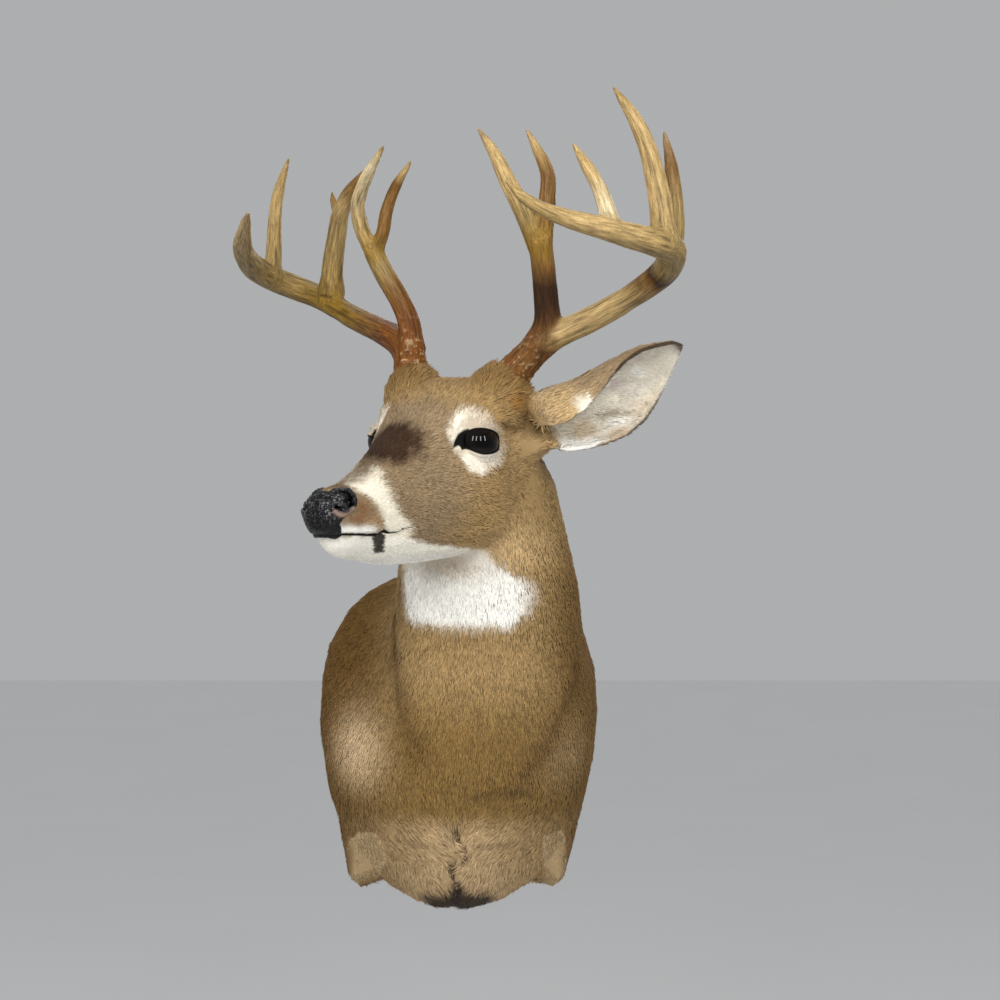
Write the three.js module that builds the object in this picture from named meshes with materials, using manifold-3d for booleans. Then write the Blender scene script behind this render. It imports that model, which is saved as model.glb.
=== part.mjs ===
// Whitetail buck shoulder mount: a life-size stuffed head, neck and chest on a flat back board, with its
// head turned to its right.
// Millimetres, +Z up. The origin is the middle of the board's back, which hangs against a wall at Y = 0.
// The buck looks towards -Y.
// Head shapes are given in the head's own frame: the origin midway between the eyes, +X to the buck's
// left, -Y towards the nose.
import * as THREE from "three";
import { mergeVertices } from "three/addons/utils/BufferGeometryUtils.js";
import Module from "manifold-3d";

const wasm = await Module();
wasm.setup();

// ---- driving dimensions ----
const gap = 0.3; // between two solids that touch
const clearance = 0.5; // between the hide and what grows out of it
const degree = Math.PI / 180;

const boardHalfWidth = 120;
const boardHalfHeight = 148;
const boardThickness = 15;
const boardRoundness = 0.77; // 1 is an ellipse, 0 a rectangle
// Y and Z of the level line above the withers that the sections of the body swing about.
const hinge = [-20, 240];

const headCentre = [-22, -330, 310];
const headTurn = 35 * degree;
const headNod = 3 * degree;
const headTilt = 1.5 * degree;
const noseReach = 182; // from between the eyes to the front of the nose
const mouthHeight = -83;
const mouthCorner = 82; // how far forward of the eyes the mouth ends
const eyeRadius = 20;
const eyeCentre = [57, 0, 0];

const earLength = 171;
const earWidth = 80;
const earThickness = 5;

const burrRadius = 20;
const beamRadius = 13;

// ---- helpers ----
// A smooth line through [station, value] pairs, level at both ends, which gives the value at any station.
function smoothLine(pairs) {
  const slope = (i) => {
    if (i === 0 || i === pairs.length - 1) return 0;
    const [before, after] = [pairs[i - 1], pairs[i + 1]];
    return (after[1] - before[1]) / (after[0] - before[0]);
  };
  return (station) => {
    let i = 0;
    while (i < pairs.length - 2 && station > pairs[i + 1][0]) i++;
    const [s0, v0] = pairs[i];
    const [s1, v1] = pairs[i + 1];
    const span = s1 - s0;
    const t = THREE.MathUtils.clamp((station - s0) / span, 0, 1);
    const t2 = t * t;
    const t3 = t2 * t;
    return (
      v0 * (2 * t3 - 3 * t2 + 1) +
      slope(i) * span * (t3 - 2 * t2 + t) +
      v1 * (3 * t2 - 2 * t3) +
      slope(i + 1) * span * (t3 - t2)
    );
  };
}

function bell(distance, reach) {
  return Math.exp(-((distance / reach) ** 2));
}

function signedPower(value, power) {
  return Math.sign(value) * Math.abs(value) ** power;
}

// The closed skin through a list of rings of points, with a fan of faces over each end, as a solid.
function loftSolid(rings) {
  const sides = rings[0].length;
  const points = rings.flat();
  const triangles = [];
  for (let i = 0; i < rings.length - 1; i++) {
    for (let j = 0; j < sides; j++) {
      const a = i * sides + j;
      const b = i * sides + ((j + 1) % sides);
      triangles.push([a, b, a + sides], [b, b + sides, a + sides]);
    }
  }
  for (const [first, flip] of [[0, true], [(rings.length - 1) * sides, false]]) {
    const centre = new THREE.Vector3();
    for (let j = 0; j < sides; j++) centre.addScaledVector(points[first + j], 1 / sides);
    const middle = points.push(centre) - 1;
    for (let j = 0; j < sides; j++) {
      const [a, b] = [first + j, first + ((j + 1) % sides)];
      triangles.push(flip ? [middle, b, a] : [middle, a, b]);
    }
  }
  let volume = 0;
  for (const [a, b, c] of triangles) volume += points[a].dot(points[b].clone().cross(points[c]));
  if (volume < 0) triangles.forEach((corners) => corners.reverse());
  return new wasm.Manifold(
    new wasm.Mesh({
      numProp: 3,
      vertProperties: new Float32Array(points.flatMap((p) => p.toArray())),
      triVerts: new Uint32Array(triangles.flat()),
    }),
  );
}

function solidOf(geometry) {
  const bare = new THREE.BufferGeometry();
  bare.setAttribute("position", geometry.getAttribute("position"));
  bare.setIndex(geometry.getIndex());
  const merged = mergeVertices(bare, 1e-3);
  return new wasm.Manifold(
    new wasm.Mesh({
      numProp: 3,
      vertProperties: merged.attributes.position.array,
      triVerts: new Uint32Array(merged.index.array),
    }),
  );
}

function geometryOf(solid) {
  const { vertProperties, triVerts } = solid.simplify(0.12).getMesh();
  const geometry = new THREE.BufferGeometry();
  geometry.setAttribute("position", new THREE.BufferAttribute(vertProperties, 3));
  geometry.setIndex(new THREE.BufferAttribute(triVerts, 1));
  geometry.computeVertexNormals();
  return geometry;
}

// A round limb along a smooth curve, as thick as radiusAt says from 0 at its root to 1 at its tip.
function limb(points, radiusAt, { steps = 10, sides = 10, grow = 0 } = {}) {
  const curve = new THREE.CatmullRomCurve3(points.map((p) => new THREE.Vector3(...p)));
  const frames = curve.computeFrenetFrames(steps);
  const rings = [];
  for (let i = 0; i <= steps; i++) {
    const beyond = i === 0 ? -grow : i === steps ? grow : 0;
    const centre = curve.getPointAt(i / steps).addScaledVector(frames.tangents[i], beyond);
    const radius = radiusAt(i / steps) + grow;
    const ring = [];
    for (let j = 0; j < sides; j++) {
      const a = (j / sides) * 2 * Math.PI;
      ring.push(
        centre
          .clone()
          .addScaledVector(frames.normals[i], Math.cos(a) * radius)
          .addScaledVector(frames.binormals[i], Math.sin(a) * radius),
      );
    }
    rings.push(ring);
  }
  return loftSolid(rings);
}

// ---- groups and frames ----
const mount = new THREE.Group();
const headGroup = new THREE.Group();
headGroup.position.set(...headCentre);
headGroup.rotation.set(headNod, headTilt, -headTurn, "ZXY");
mount.add(headGroup);
mount.updateMatrixWorld(true);

function inBoardFrame(solid, group) {
  return solid.transform(group.matrixWorld.elements);
}

// Adds a solid given in the board's frame as a mesh of a group.
function addPiece(group, name, solid, material) {
  const geometry = geometryOf(solid);
  geometry.applyMatrix4(group.matrixWorld.clone().invert());
  const mesh = new THREE.Mesh(geometry, material);
  mesh.name = name;
  group.add(mesh);
}

// Cuts a solid by a plane through a point, both in a group's frame, and leaves a gap. Returns [side along
// the normal, other side].
function cutApart(solid, group, point, normal) {
  const turned = new THREE.Vector3(...normal).normalize().transformDirection(group.matrixWorld);
  const offset = new THREE.Vector3(...point).applyMatrix4(group.matrixWorld).dot(turned);
  return [
    solid.trimByPlane(turned.toArray(), offset + gap / 2),
    solid.trimByPlane(turned.negate().toArray(), -offset + gap / 2),
  ];
}

// ---- materials ----
const coat = new THREE.MeshStandardMaterial({ color: 0x8f7047, roughness: 0.9 });
const paleCoat = new THREE.MeshStandardMaterial({ color: 0xded8cc, roughness: 0.9 });
const earCoat = new THREE.MeshStandardMaterial({ color: 0xa08a68, roughness: 0.9 });
const wetNose = new THREE.MeshStandardMaterial({ color: 0x14130f, roughness: 0.35 });
const glassEye = new THREE.MeshStandardMaterial({ color: 0x080504, roughness: 0.05 });
const antlerBone = new THREE.MeshStandardMaterial({ color: 0x94754a, roughness: 0.55 });
const plywood = new THREE.MeshStandardMaterial({ color: 0xb08f63, roughness: 0.8 });

// ---- body ----
// Sections swing about the hinge line, from upright at the wall (0) to level at the throat (90), and then
// rise level to the skull.
// Below 0 a station counts millimetres towards the wall, and above 90 it counts millimetres up.
// Distances are measured from the hinge line: to the back of the neck, to the widest place and to the
// front of the chest.
const backDistance = smoothLine([
  [-18, 78], [-10, 71], [0, 66], [16, 69], [35, 80], [54, 95], [75, 118], [90, 130], [110, 136],
  [130, 146], [160, 172], [200, 222],
]);
const frontDistance = smoothLine([
  [-18, 400], [-10, 406], [0, 414], [12, 440], [22, 466], [30, 458], [38, 428], [46, 390], [54, 347],
  [62, 314],
  [70, 302], [78, 300], [85, 298], [90, 300], [110, 304], [130, 304], [160, 292], [200, 262],
]);
const middleDistance = smoothLine([
  [-18, 238], [0, 238], [12, 240], [22, 242], [30, 240], [38, 232], [46, 222], [54, 212], [62, 206],
  [70, 204],
  [78, 206], [90, 212], [130, 226], [200, 242],
]);
const sideDistance = smoothLine([
  [-18, 138], [-10, 145], [0, 149], [12, 154], [22, 157], [30, 153], [38, 142], [46, 124], [54, 109],
  [62, 101],
  [70, 97], [78, 93], [85, 88], [90, 84], [110, 79], [130, 73], [150, 64], [170, 54], [188, 38], [200, 20],
]);
const sideways = smoothLine([
  [-18, 0], [22, 0], [30, 3], [38, 8], [46, 18], [54, 27], [62, 33], [70, 34], [90, 30], [200, 24],
]);
const turnAt = smoothLine([[-18, 0], [40, 0], [60, 8], [75, 18], [90, 28], [120, 35], [200, 35]]);
const shoulderFullness = smoothLine([[-18, 2.6], [0, 2.7], [25, 2.5], [60, 2.1], [200, 2.1]]);
const brisketFullness = smoothLine([[-18, 2.6], [0, 2.5], [20, 2.05], [60, 2.1], [200, 2.1]]);
const bodyStations = [
  -18, -10, 0, 8, 15, 22, 28, 34, 40, 46, 52, 58, 65, 72, 80, 90, 104, 118, 132, 146, 160, 174, 188, 200,
];

// The crease between the two breast muscles, which deepens towards the brisket.
function breastCrease(p) {
  p.y += 12 * bell(p.z + 150, 60) * bell(p.x, 15) * THREE.MathUtils.smoothstep(-p.y, 120, 180);
}

function bodySolid(grow = 0) {
  const sides = 32;
  const rings = bodyStations.map((station) => {
    const swing = THREE.MathUtils.clamp(station, 0, 90) * degree;
    const turn = turnAt(station) * degree;
    const middle = middleDistance(station);
    const ring = [];
    for (let j = 0; j < sides; j++) {
      const a = (j / sides) * 2 * Math.PI;
      const power = 2 / (Math.sin(a) > 0 ? brisketFullness : shoulderFullness)(station);
      const across = signedPower(Math.cos(a), power) * (sideDistance(station) + grow);
      const along = signedPower(Math.sin(a), power);
      const reach = along > 0 ? frontDistance(station) - middle : middle - backDistance(station);
      const forward = along * (reach + grow);
      const distance = middle + forward * Math.cos(turn) + across * Math.sin(turn);
      const point = new THREE.Vector3(
        sideways(station) + across * Math.cos(turn) - forward * Math.sin(turn),
        hinge[0] - distance * Math.sin(swing) - Math.min(station, 0),
        hinge[1] - distance * Math.cos(swing) + Math.max(station - 90, 0),
      );
      breastCrease(point);
      ring.push(point);
    }
    return ring;
  });
  return loftSolid(rings);
}

// One foreleg's stump: the thick upper arm and a short cut shank. side is 1 on the buck's left.
function forelegSolid(side) {
  return limb(
    [[92 * side, -120, -50], [98 * side, -150, -95], [103 * side, -168, -134], [104 * side, -170, -176]],
    smoothLine([[0, 40], [0.3, 42], [0.55, 33], [0.75, 23], [0.92, 19], [1, 9]]),
    { steps: 9, sides: 12 },
  );
}

// ---- head ----
// Five lines run from the back of the skull (station -128) to the nose, each as [station, value].
// Stations count forward.
const bridgeHeight = smoothLine([
  [-128, 6], [-115, 32], [-95, 50], [-65, 61], [-40, 63], [-15, 59], [8, 49], [30, 35], [55, 17], [80, -2],
  [105, -17], [130, -28], [148, -35], [162, -38], [172, -43], [178, -49], [noseReach, -56],
]);
const browWidth = smoothLine([
  [-128, 22], [-105, 38], [-70, 50], [-35, 57], [-8, 60], [10, 56], [32, 41], [60, 27], [90, 20], [135, 17],
  [165, 19], [175, 16], [noseReach, 10],
]);
const browHeight = smoothLine([
  [-128, 0], [-95, 38], [-60, 52], [-30, 50], [-5, 38], [15, 26], [40, 12], [70, -3], [105, -23],
  [140, -41], [170, -48], [noseReach, -59],
]);
const cheekWidth = smoothLine([
  [-128, 32], [-105, 50], [-70, 60], [-35, 67], [-5, 70], [22, 64], [50, 50], [90, 38], [125, 32],
  [150, 28],
  [168, 26], [176, 21], [noseReach, 12],
]);
const cheekHeight = smoothLine([
  [-128, -20], [-90, -16], [-40, -16], [0, -20], [40, -34], [90, -54], [125, -61], [160, -63],
  [noseReach, -65],
]);
const jawWidth = smoothLine([
  [-128, 30], [-100, 44], [-60, 51], [-20, 51], [20, 44], [60, 36], [100, 30], [135, 26], [155, 23],
  [168, 18], [177, 14], [noseReach, 9],
]);
const jawHeight = smoothLine([
  [-128, -62], [-90, -84], [-40, -96], [10, -98], [60, -94], [110, -90], [145, -88], [163, -85],
  [172, -80], [noseReach, -73],
]);
const chinHeight = smoothLine([
  [-128, -72], [-95, -100], [-55, -115], [-10, -120], [40, -121], [90, -119], [125, -112], [145, -109],
  [157, -105],
  [165, -97], [170, -88], [177, -83], [noseReach, -76],
]);
const headStations = [
  -128, -119, -106, -90, -72, -54, -36, -20, -6, 8, 22, 38, 56, 75, 94,
  112, 128, 141, 152, 161, 168, 174, 178.5, 181, noseReach,
];

// Half a ring, from the bridge down to the chin, as a smooth curve through the five lines.
function headProfile(station) {
  return new THREE.CatmullRomCurve3(
    [
      [-browWidth(station) * 0.9, browHeight(station) + 2],
      [0, bridgeHeight(station)],
      [browWidth(station), browHeight(station)],
      [cheekWidth(station), cheekHeight(station)],
      [jawWidth(station), jawHeight(station)],
      [0, chinHeight(station)],
      [-jawWidth(station) * 0.9, jawHeight(station)],
    ].map(([x, z]) => new THREE.Vector3(x, -station, z)),
    false,
    "centripetal",
  );
}

// Bumps and hollows of the face: [x, station, z, reach, outward].
const faceForms = [
  [68, 4, 24, 17, 6], // brow over the eye
  [72, 4, 0, 16, -4], // eye socket
  [64, 27, -5, 14, -9], // hollow in front of the eye
  [60, -12, -42, 30, 4], // cheek muscle
  [46, -42, -84, 26, 3], // jaw angle
  [36, 78, -36, 26, -3], // side of the face
  [26, 146, -76, 13, 3], // upper lip
  [25, 164, -52, 12, 3], // nostril's wing
];

function shapeFace(p, grow) {
  const outward = new THREE.Vector3(p.x, 0, (p.z + 25) * 0.8).normalize();
  for (const [x, station, z, reach, out] of faceForms) {
    const near = bell(Math.hypot(Math.abs(p.x) - x, -p.y - station, p.z - z), reach);
    p.addScaledVector(outward, out * near);
  }
  p.addScaledVector(outward, grow);
}

function headSolid(grow = 0) {
  const half = 12;
  const rings = headStations.map((station) => {
    const points = headProfile(station).getPoints(240).filter((p) => p.x >= 0);
    const side = new THREE.CatmullRomCurve3(points, false, "centripetal").getSpacedPoints(half);
    side[0].x = 0;
    side[half].x = 0;
    const other = side.slice(1, half).map((p) => new THREE.Vector3(-p.x, p.y, p.z));
    const ring = [...side, ...other.reverse()];
    for (const p of ring) shapeFace(p, grow);
    return ring;
  });
  return loftSolid(rings);
}

// A low mound of hair and bone that carries each antler.
function pedicleSolid(side, grow = 0) {
  return limb(
    [[44 * side, 36, 28], [54 * side, 43, 50], [61 * side, 47, 72]],
    smoothLine([[0, 36], [0.45, 33], [0.75, 28], [1, 18]]),
    { steps: 5, sides: 12, grow },
  );
}

const nostril = { x: 22, station: 160, z: -52, long: 8, wide: 5, high: 7 };

function nostrilSolid(side) {
  const ball = new THREE.SphereGeometry(1, 8, 6);
  ball.scale(nostril.wide, nostril.long, nostril.high);
  ball.rotateZ(0.5 * side);
  ball.translate(nostril.x * side, -nostril.station, nostril.z);
  return solidOf(ball);
}

function eyeSolid(side, grow = 0) {
  const ball = new THREE.SphereGeometry(eyeRadius + grow, 14, 8);
  ball.translate(eyeCentre[0] * side, eyeCentre[1], eyeCentre[2]);
  return solidOf(ball);
}

// ---- ears ----
// A cupped leaf: each ring is a curved strip with an outer and an inner face. It opens towards its own -Y
// and points along its own +Z, with its lower edge on +X.
const earHalfWidth = smoothLine([
  [0, 0.32], [0.12, 0.45], [0.3, 0.47], [0.45, 0.51], [0.62, 0.535],
  [0.74, 0.465], [0.86, 0.31], [0.95, 0.17], [1, 0.05],
]);
const earCurl = smoothLine([ // degrees either side
  [0, 140], [0.2, 140], [0.3, 131], [0.47, 108], [0.65, 79], [0.74, 72], [0.9, 62], [1, 50],
]);
// how far the leaf bows towards its lower edge
const earBow = smoothLine([
  [0, -14], [0.12, -13], [0.21, -6], [0.3, 0], [0.45, 6.5], [0.65, 12.5], [0.8, 8.5], [0.9, 6], [1, 4],
]);
const earStations = [0.02, 0.1, 0.2, 0.32, 0.45, 0.57, 0.68, 0.78, 0.88, 0.95, 1];

function earShell() {
  const across = 9;
  const rings = earStations.map((t) => {
    const half = earHalfWidth(t) * earWidth;
    const curl = earCurl(t) * degree;
    const radius = half / Math.sin(Math.min(curl, Math.PI / 2));
    const thick = Math.min(earThickness, half * 0.7);
    const rearward = radius * 0.35;
    const arc = (r, direction) =>
      Array.from({ length: across }, (_, j) => {
        const a = (-1 + (2 * j) / (across - 1)) * curl * direction;
        return new THREE.Vector3(Math.sin(a) * r + earBow(t), Math.cos(a) * r - rearward, t * earLength);
      });
    return [...arc(radius, -1), ...arc(Math.max(radius - thick, radius * 0.3), 1)];
  });
  return loftSolid(rings);
}

function placedEar({ side, root, tip, opening }) {
  const along = new THREE.Vector3(...tip).normalize();
  const back = new THREE.Vector3(...opening).negate();
  back.addScaledVector(along, -back.dot(along)).normalize();
  const across = new THREE.Vector3().crossVectors(back, along).multiplyScalar(side);
  const matrix = new THREE.Matrix4().makeBasis(across, back, along).setPosition(...root);
  const fleshyRoot = limb(
    [[2, 4, -28], [-1, 5, -10], [-8, 2, 8]],
    smoothLine([[0, 24], [0.5, 30], [1, 26]]),
    { steps: 4, sides: 10 },
  );
  return earShell().add(fleshyRoot).transform(matrix.elements);
}

const leftEar = { side: 1, root: [72, 86, 8], tip: [0.75, 0.42, 0.52], opening: [0.664, -0.425, -0.615] };
const rightEar = { side: -1, root: [-68, 90, 10], tip: [-0.6, 0.79, 0.06], opening: [-0.8, -0.45, -0.3] };

// ---- antlers ----
// Points are given as [out from the midline, forward, up] in the head's frame.
function antlerPoints(points, side) {
  return points.map(([out, forward, up]) => [out * side, -forward, up]);
}

// A tine is widest at its root and comes to a point. A stem keeps its thickness up to its fork.
const tineThickness = (root, flare = 1.5) =>
  smoothLine([
    [0, root * flare], [0.12, root * (1 + (flare - 1) / 4)], [0.35, root],
    [0.7, root * 0.78], [0.9, root * 0.42], [1, 1.6],
  ]);
const stemThickness = (root, tip) =>
  smoothLine([[0, root * 1.4], [0.15, root * 1.1], [0.4, root], [1, tip]]);

const beamThickness = smoothLine([
  [0, 15], [0.02, burrRadius], [0.05, burrRadius - 1], [0.075, 17], [0.14, 15.5], [0.2, beamRadius + 0.5],
  [0.35, beamRadius - 0.5],
  [0.5, beamRadius + 1], [0.62, beamRadius + 1], [0.72, beamRadius - 1], [0.84, 9.5], [0.95, 5.5], [1, 1.6],
]);

const leftAntler = {
  side: 1,
  beam: [
    [52, -44, 50], [61, -48, 61], [78, -52, 80], [103, -58, 101], [141, -68, 118], [177, -76, 136],
    [209, -76, 153], [238, -62, 167],
    [260, -34, 182], [262, 0, 187], [253, 30, 192], [241, 58, 198], [226, 82, 204], [208, 103, 213],
    [193, 118, 225], [181, 127, 240],
  ],
  cut: { at: [196, -77, 145], along: [0.88, 0.08, 0.45] },
  tines: {
    brow: {
      points: [
        [94, -56, 95], [105, -54, 119], [108, -48, 145], [110, -40, 175], [112, -32, 200],
      ],
      root: 13,
      tip: 12,
    },
    brow_front: {
      points: [
        [108, -34, 190], [101, -20, 226], [91, -8, 255], [82, 4, 284], [71, 14, 306],
      ],
      root: 10,
      flare: 1,
    },
    brow_rear: {
      points: [
        [114, -36, 188], [119, -34, 233], [119, -36, 262], [103, -38, 292], [94, -36, 309],
      ],
      root: 9,
      flare: 1,
    },
    second: {
      points: [
        [247, -56, 176], [250, -58, 208], [248, -60, 236], [244, -60, 267], [239, -56, 297],
      ],
      root: 9,
    },
    third: {
      points: [
        [263, -14, 188], [261, -14, 213], [257, -12, 241], [252, -6, 271], [244, 2, 298], [223, 10, 333],
      ],
      root: 10.5,
    },
    fourth: { points: [[244, 48, 197], [238, 48, 218], [230, 50, 239], [205, 52, 278]], root: 8 },
  },
};

const rightAntler = {
  side: -1,
  beam: [
    [55, -44, 54], [61, -48, 70], [67, -51, 88], [80, -54, 102], [106, -60, 113], [162, -74, 132],
    [214, -82, 155], [240, -76, 165],
    [256, -56, 175], [253, -20, 186], [224, 30, 201], [184, 72, 216], [148, 105, 231],
  ],
  cut: { at: [226, -80, 160], along: [0.88, 0.2, 0.42] },
  tines: {
    brow: {
      points: [
        [62, -50, 92], [63, -46, 123], [73, -40, 150], [86, -34, 175], [95, -28, 198],
      ],
      root: 11.5,
      tip: 11,
    },
    brow_front: {
      points: [
        [93, -30, 190], [103, -20, 219], [100, -10, 243], [82, 2, 264], [41, 20, 298],
      ],
      root: 8.5,
      flare: 1,
    },
    brow_rear: {
      points: [
        [92, -28, 194], [83, -30, 217], [80, -32, 237], [70, -34, 261], [48, -34, 288],
      ],
      root: 7.5,
      flare: 1,
    },
    second: {
      points: [
        [196, -80, 156], [191, -78, 192], [182, -74, 221], [171, -68, 245], [153, -62, 263],
        [101, -44, 292],
      ],
      root: 11,
    },
    second_spur: { points: [[176, -70, 240], [184, -72, 256], [188, -74, 268]], root: 4.5 },
    third: {
      points: [
        [254, -50, 176], [248, -46, 207], [243, -42, 233], [234, -38, 265], [211, -30, 302],
      ],
      root: 8.5,
    },
  },
};

function tineSolid({ points, root, tip, flare }, side, grow = 0) {
  const thickness = tip ? stemThickness(root, tip) : tineThickness(root, flare);
  return limb(antlerPoints(points, side), thickness, { steps: 6, sides: 7, grow });
}

function addAntler(name, { side, beam, cut, tines }) {
  const beamOptions = { steps: 28, sides: 8 };
  const put = (solid) => inBoardFrame(solid, headGroup);
  const beamSolid = put(limb(antlerPoints(beam, side), beamThickness, beamOptions)).subtract(grownBody);
  const grownBeam = put(limb(antlerPoints(beam, side), beamThickness, { ...beamOptions, grow: gap }));
  const [at] = antlerPoints([cut.at], side);
  const [along] = antlerPoints([cut.along], side);
  const [outer, inner] = cutApart(beamSolid, headGroup, at, along);
  addPiece(headGroup, `${name}_beam_base`, largestPart(inner), antlerBone);
  addPiece(headGroup, `${name}_beam_tip`, largestPart(outer), antlerBone);
  const taken = [grownBeam, grownBody];
  for (const [tine, shape] of Object.entries(tines)) {
    let solid = put(tineSolid(shape, side));
    for (const other of taken) solid = solid.subtract(other);
    addPiece(headGroup, `${name}_${tine}`, largestPart(solid), antlerBone);
    taken.push(put(tineSolid(shape, side, gap)));
  }
}

function largestPart(solid) {
  return solid.decompose().reduce((a, b) => (a.volume() > b.volume() ? a : b));
}

// ---- flesh: one body, parted by thin cuts ----
const sides = [["left", 1], ["right", -1]];
function wholeBody(grow) {
  const skull = headSolid(grow).add(pedicleSolid(1, grow)).add(pedicleSolid(-1, grow));
  return bodySolid(grow).add(inBoardFrame(skull, headGroup));
}

const grownBody = wholeBody(clearance);
let flesh = wholeBody(0);
for (const [, side] of sides) {
  flesh = flesh.subtract(inBoardFrame(eyeSolid(side, gap), headGroup));
  flesh = flesh.subtract(inBoardFrame(nostrilSolid(side), headGroup));
}

// The board fills a pocket in the chest's back.
function boardSolid(grow, thickness) {
  const shape = new THREE.Shape();
  const count = 32;
  for (let j = 0; j < count; j++) {
    const a = (j / count) * 2 * Math.PI;
    const x = signedPower(Math.cos(a), boardRoundness) * (boardHalfWidth + grow);
    const z = signedPower(Math.sin(a), boardRoundness) * (boardHalfHeight + grow);
    if (j === 0) shape.moveTo(x, z);
    else shape.lineTo(x, z);
  }
  const plate = new THREE.ExtrudeGeometry(shape, { depth: thickness, bevelEnabled: false });
  plate.rotateX(Math.PI / 2);
  return solidOf(plate);
}

addPiece(mount, "back_board", boardSolid(0, boardThickness), plywood);
flesh = flesh.subtract(boardSolid(gap, boardThickness + gap));

// Each cut is a plane through a point, with the normal towards the first part.
const throatCut = [headGroup, [0, 78, -34], [0, -0.9, 0.43]];
const neckCut = [mount, [0, -200, 110], [0, -0.45, 0.89]];
const noseCut = [headGroup, [0, -150, -54], [0, -0.94, 0.34]];
const [headPart, bodyPart] = cutApart(flesh, ...throatCut);
const [neckPart, chestPart] = cutApart(bodyPart, ...neckCut);
const [nosePart, facePart] = cutApart(headPart, ...noseCut);

// All the room below the mouth line and in front of its corners.
function jawRoom(grow) {
  const [width, length, height] = [200, 200, 100];
  const room = new THREE.BoxGeometry(width, length, height);
  room.translate(0, -mouthCorner - length / 2 + grow, mouthHeight - height / 2 + grow);
  return inBoardFrame(solidOf(room), headGroup);
}

addPiece(mount, "neck", largestPart(neckPart), coat);
addPiece(mount, "chest", largestPart(chestPart), coat);
addPiece(headGroup, "head", largestPart(facePart.subtract(jawRoom(gap / 2))), coat);
addPiece(headGroup, "nose_pad", largestPart(nosePart.subtract(jawRoom(gap / 2))), wetNose);
addPiece(headGroup, "lower_jaw", largestPart(headPart.intersect(jawRoom(-gap / 2))), paleCoat);
for (const [name, side] of sides) {
  addPiece(mount, `foreleg_${name}`, largestPart(forelegSolid(side).subtract(grownBody)), coat);
}

for (const [name, side] of sides) {
  addPiece(headGroup, `eye_${name}`, inBoardFrame(eyeSolid(side), headGroup), glassEye);
}
for (const [name, ear] of [["left", leftEar], ["right", rightEar]]) {
  const solid = inBoardFrame(placedEar(ear), headGroup).subtract(grownBody);
  addPiece(headGroup, `ear_${name}`, largestPart(solid), earCoat);
}
addAntler("antler_left", leftAntler);
addAntler("antler_right", rightAntler);

export default mount;
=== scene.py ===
import itertools
import math
import bpy
import numpy as np
from mathutils import Matrix, Vector, kdtree


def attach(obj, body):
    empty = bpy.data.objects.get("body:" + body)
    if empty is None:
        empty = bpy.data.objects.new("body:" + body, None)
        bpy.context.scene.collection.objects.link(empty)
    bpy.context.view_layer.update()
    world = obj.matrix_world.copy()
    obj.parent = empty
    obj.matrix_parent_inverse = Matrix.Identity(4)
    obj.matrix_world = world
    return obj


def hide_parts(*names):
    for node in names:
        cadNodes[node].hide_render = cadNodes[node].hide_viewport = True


# Whitetail buck shoulder mount. Lengths in the dictionaries are millimetres unless a note says otherwise.
# Places on the body are in the part's frame, places on the head in the head's own frame below.
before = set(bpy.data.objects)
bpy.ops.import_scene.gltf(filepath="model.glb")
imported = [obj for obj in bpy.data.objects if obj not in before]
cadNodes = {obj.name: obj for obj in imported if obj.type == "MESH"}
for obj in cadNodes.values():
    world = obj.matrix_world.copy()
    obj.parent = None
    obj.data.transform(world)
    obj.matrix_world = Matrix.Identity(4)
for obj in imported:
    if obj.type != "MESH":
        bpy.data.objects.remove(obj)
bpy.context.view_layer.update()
mm = 0.001
dice = np.random.default_rng(11)
print("stage: frame loaded,", len(cadNodes), "nodes")

# The head's own frame: +X to the buck's left, -Y towards the nose, origin between the eyes.
head = {"centre": (-22, -330, 310), "turn": 35, "nod": 3, "tilt": 1.5}
headMatrix = (
    Matrix.Translation(Vector(head["centre"]))
    @ Matrix.Rotation(math.radians(-head["turn"]), 4, "Z")
    @ Matrix.Rotation(math.radians(head["nod"]), 4, "X")
    @ Matrix.Rotation(math.radians(head["tilt"]), 4, "Y")
)
headTurn = np.array(headMatrix.to_3x3())
headCentre = np.array(head["centre"], float)


def toHead(points):
    # metres in the part's frame to millimetres in the head's
    return (points / mm - headCentre) @ headTurn


def fromHead(points):
    return (np.asarray(points, float) @ headTurn.T + headCentre) * mm


def unit(vectors):
    return vectors / np.maximum(np.linalg.norm(vectors, axis=-1, keepdims=True), 1e-9)


def ramp(values, low, high):
    # 0 below low, 1 above high, smooth between
    t = np.clip((values - low) / (high - low), 0, 1)
    return t * t * (3 - 2 * t)


def bell(distance, reach):
    return np.exp(-((distance / reach) ** 2))


def spot(points, centre, reach):
    # 1 at the centre of an ellipsoid, fading to nothing past its reach
    return np.exp(-(((points - np.array(centre)) / np.array(reach)) ** 2).sum(-1))


def gapTo(points, place):
    return np.linalg.norm(points - np.array(place, float), axis=1)


def mixed(start, end, share):
    # from start to end, by a share for each row
    return start + (end - start) * share[:, None]


def along(values, *pairs):
    # a line through (place, value) pairs
    places, heights = zip(*pairs)
    return np.interp(values, places, heights)


def fromLine(points, line):
    # distance to the nearest place of a bent line, and how far along the line that is, 0 to 1
    line = np.array(line, float)
    gap = np.full(len(points), np.inf)
    share = np.zeros(len(points))
    for i, (a, b) in enumerate(zip(line[:-1], line[1:])):
        t = np.clip((points - a) @ (b - a) / max((b - a) @ (b - a), 1e-9), 0, 1)
        far = np.linalg.norm(points - a - t[:, None] * (b - a), axis=1)
        closer = far < gap
        gap[closer] = far[closer]
        share[closer] = (i + t[closer]) / (len(line) - 1)
    return gap, share


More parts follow.
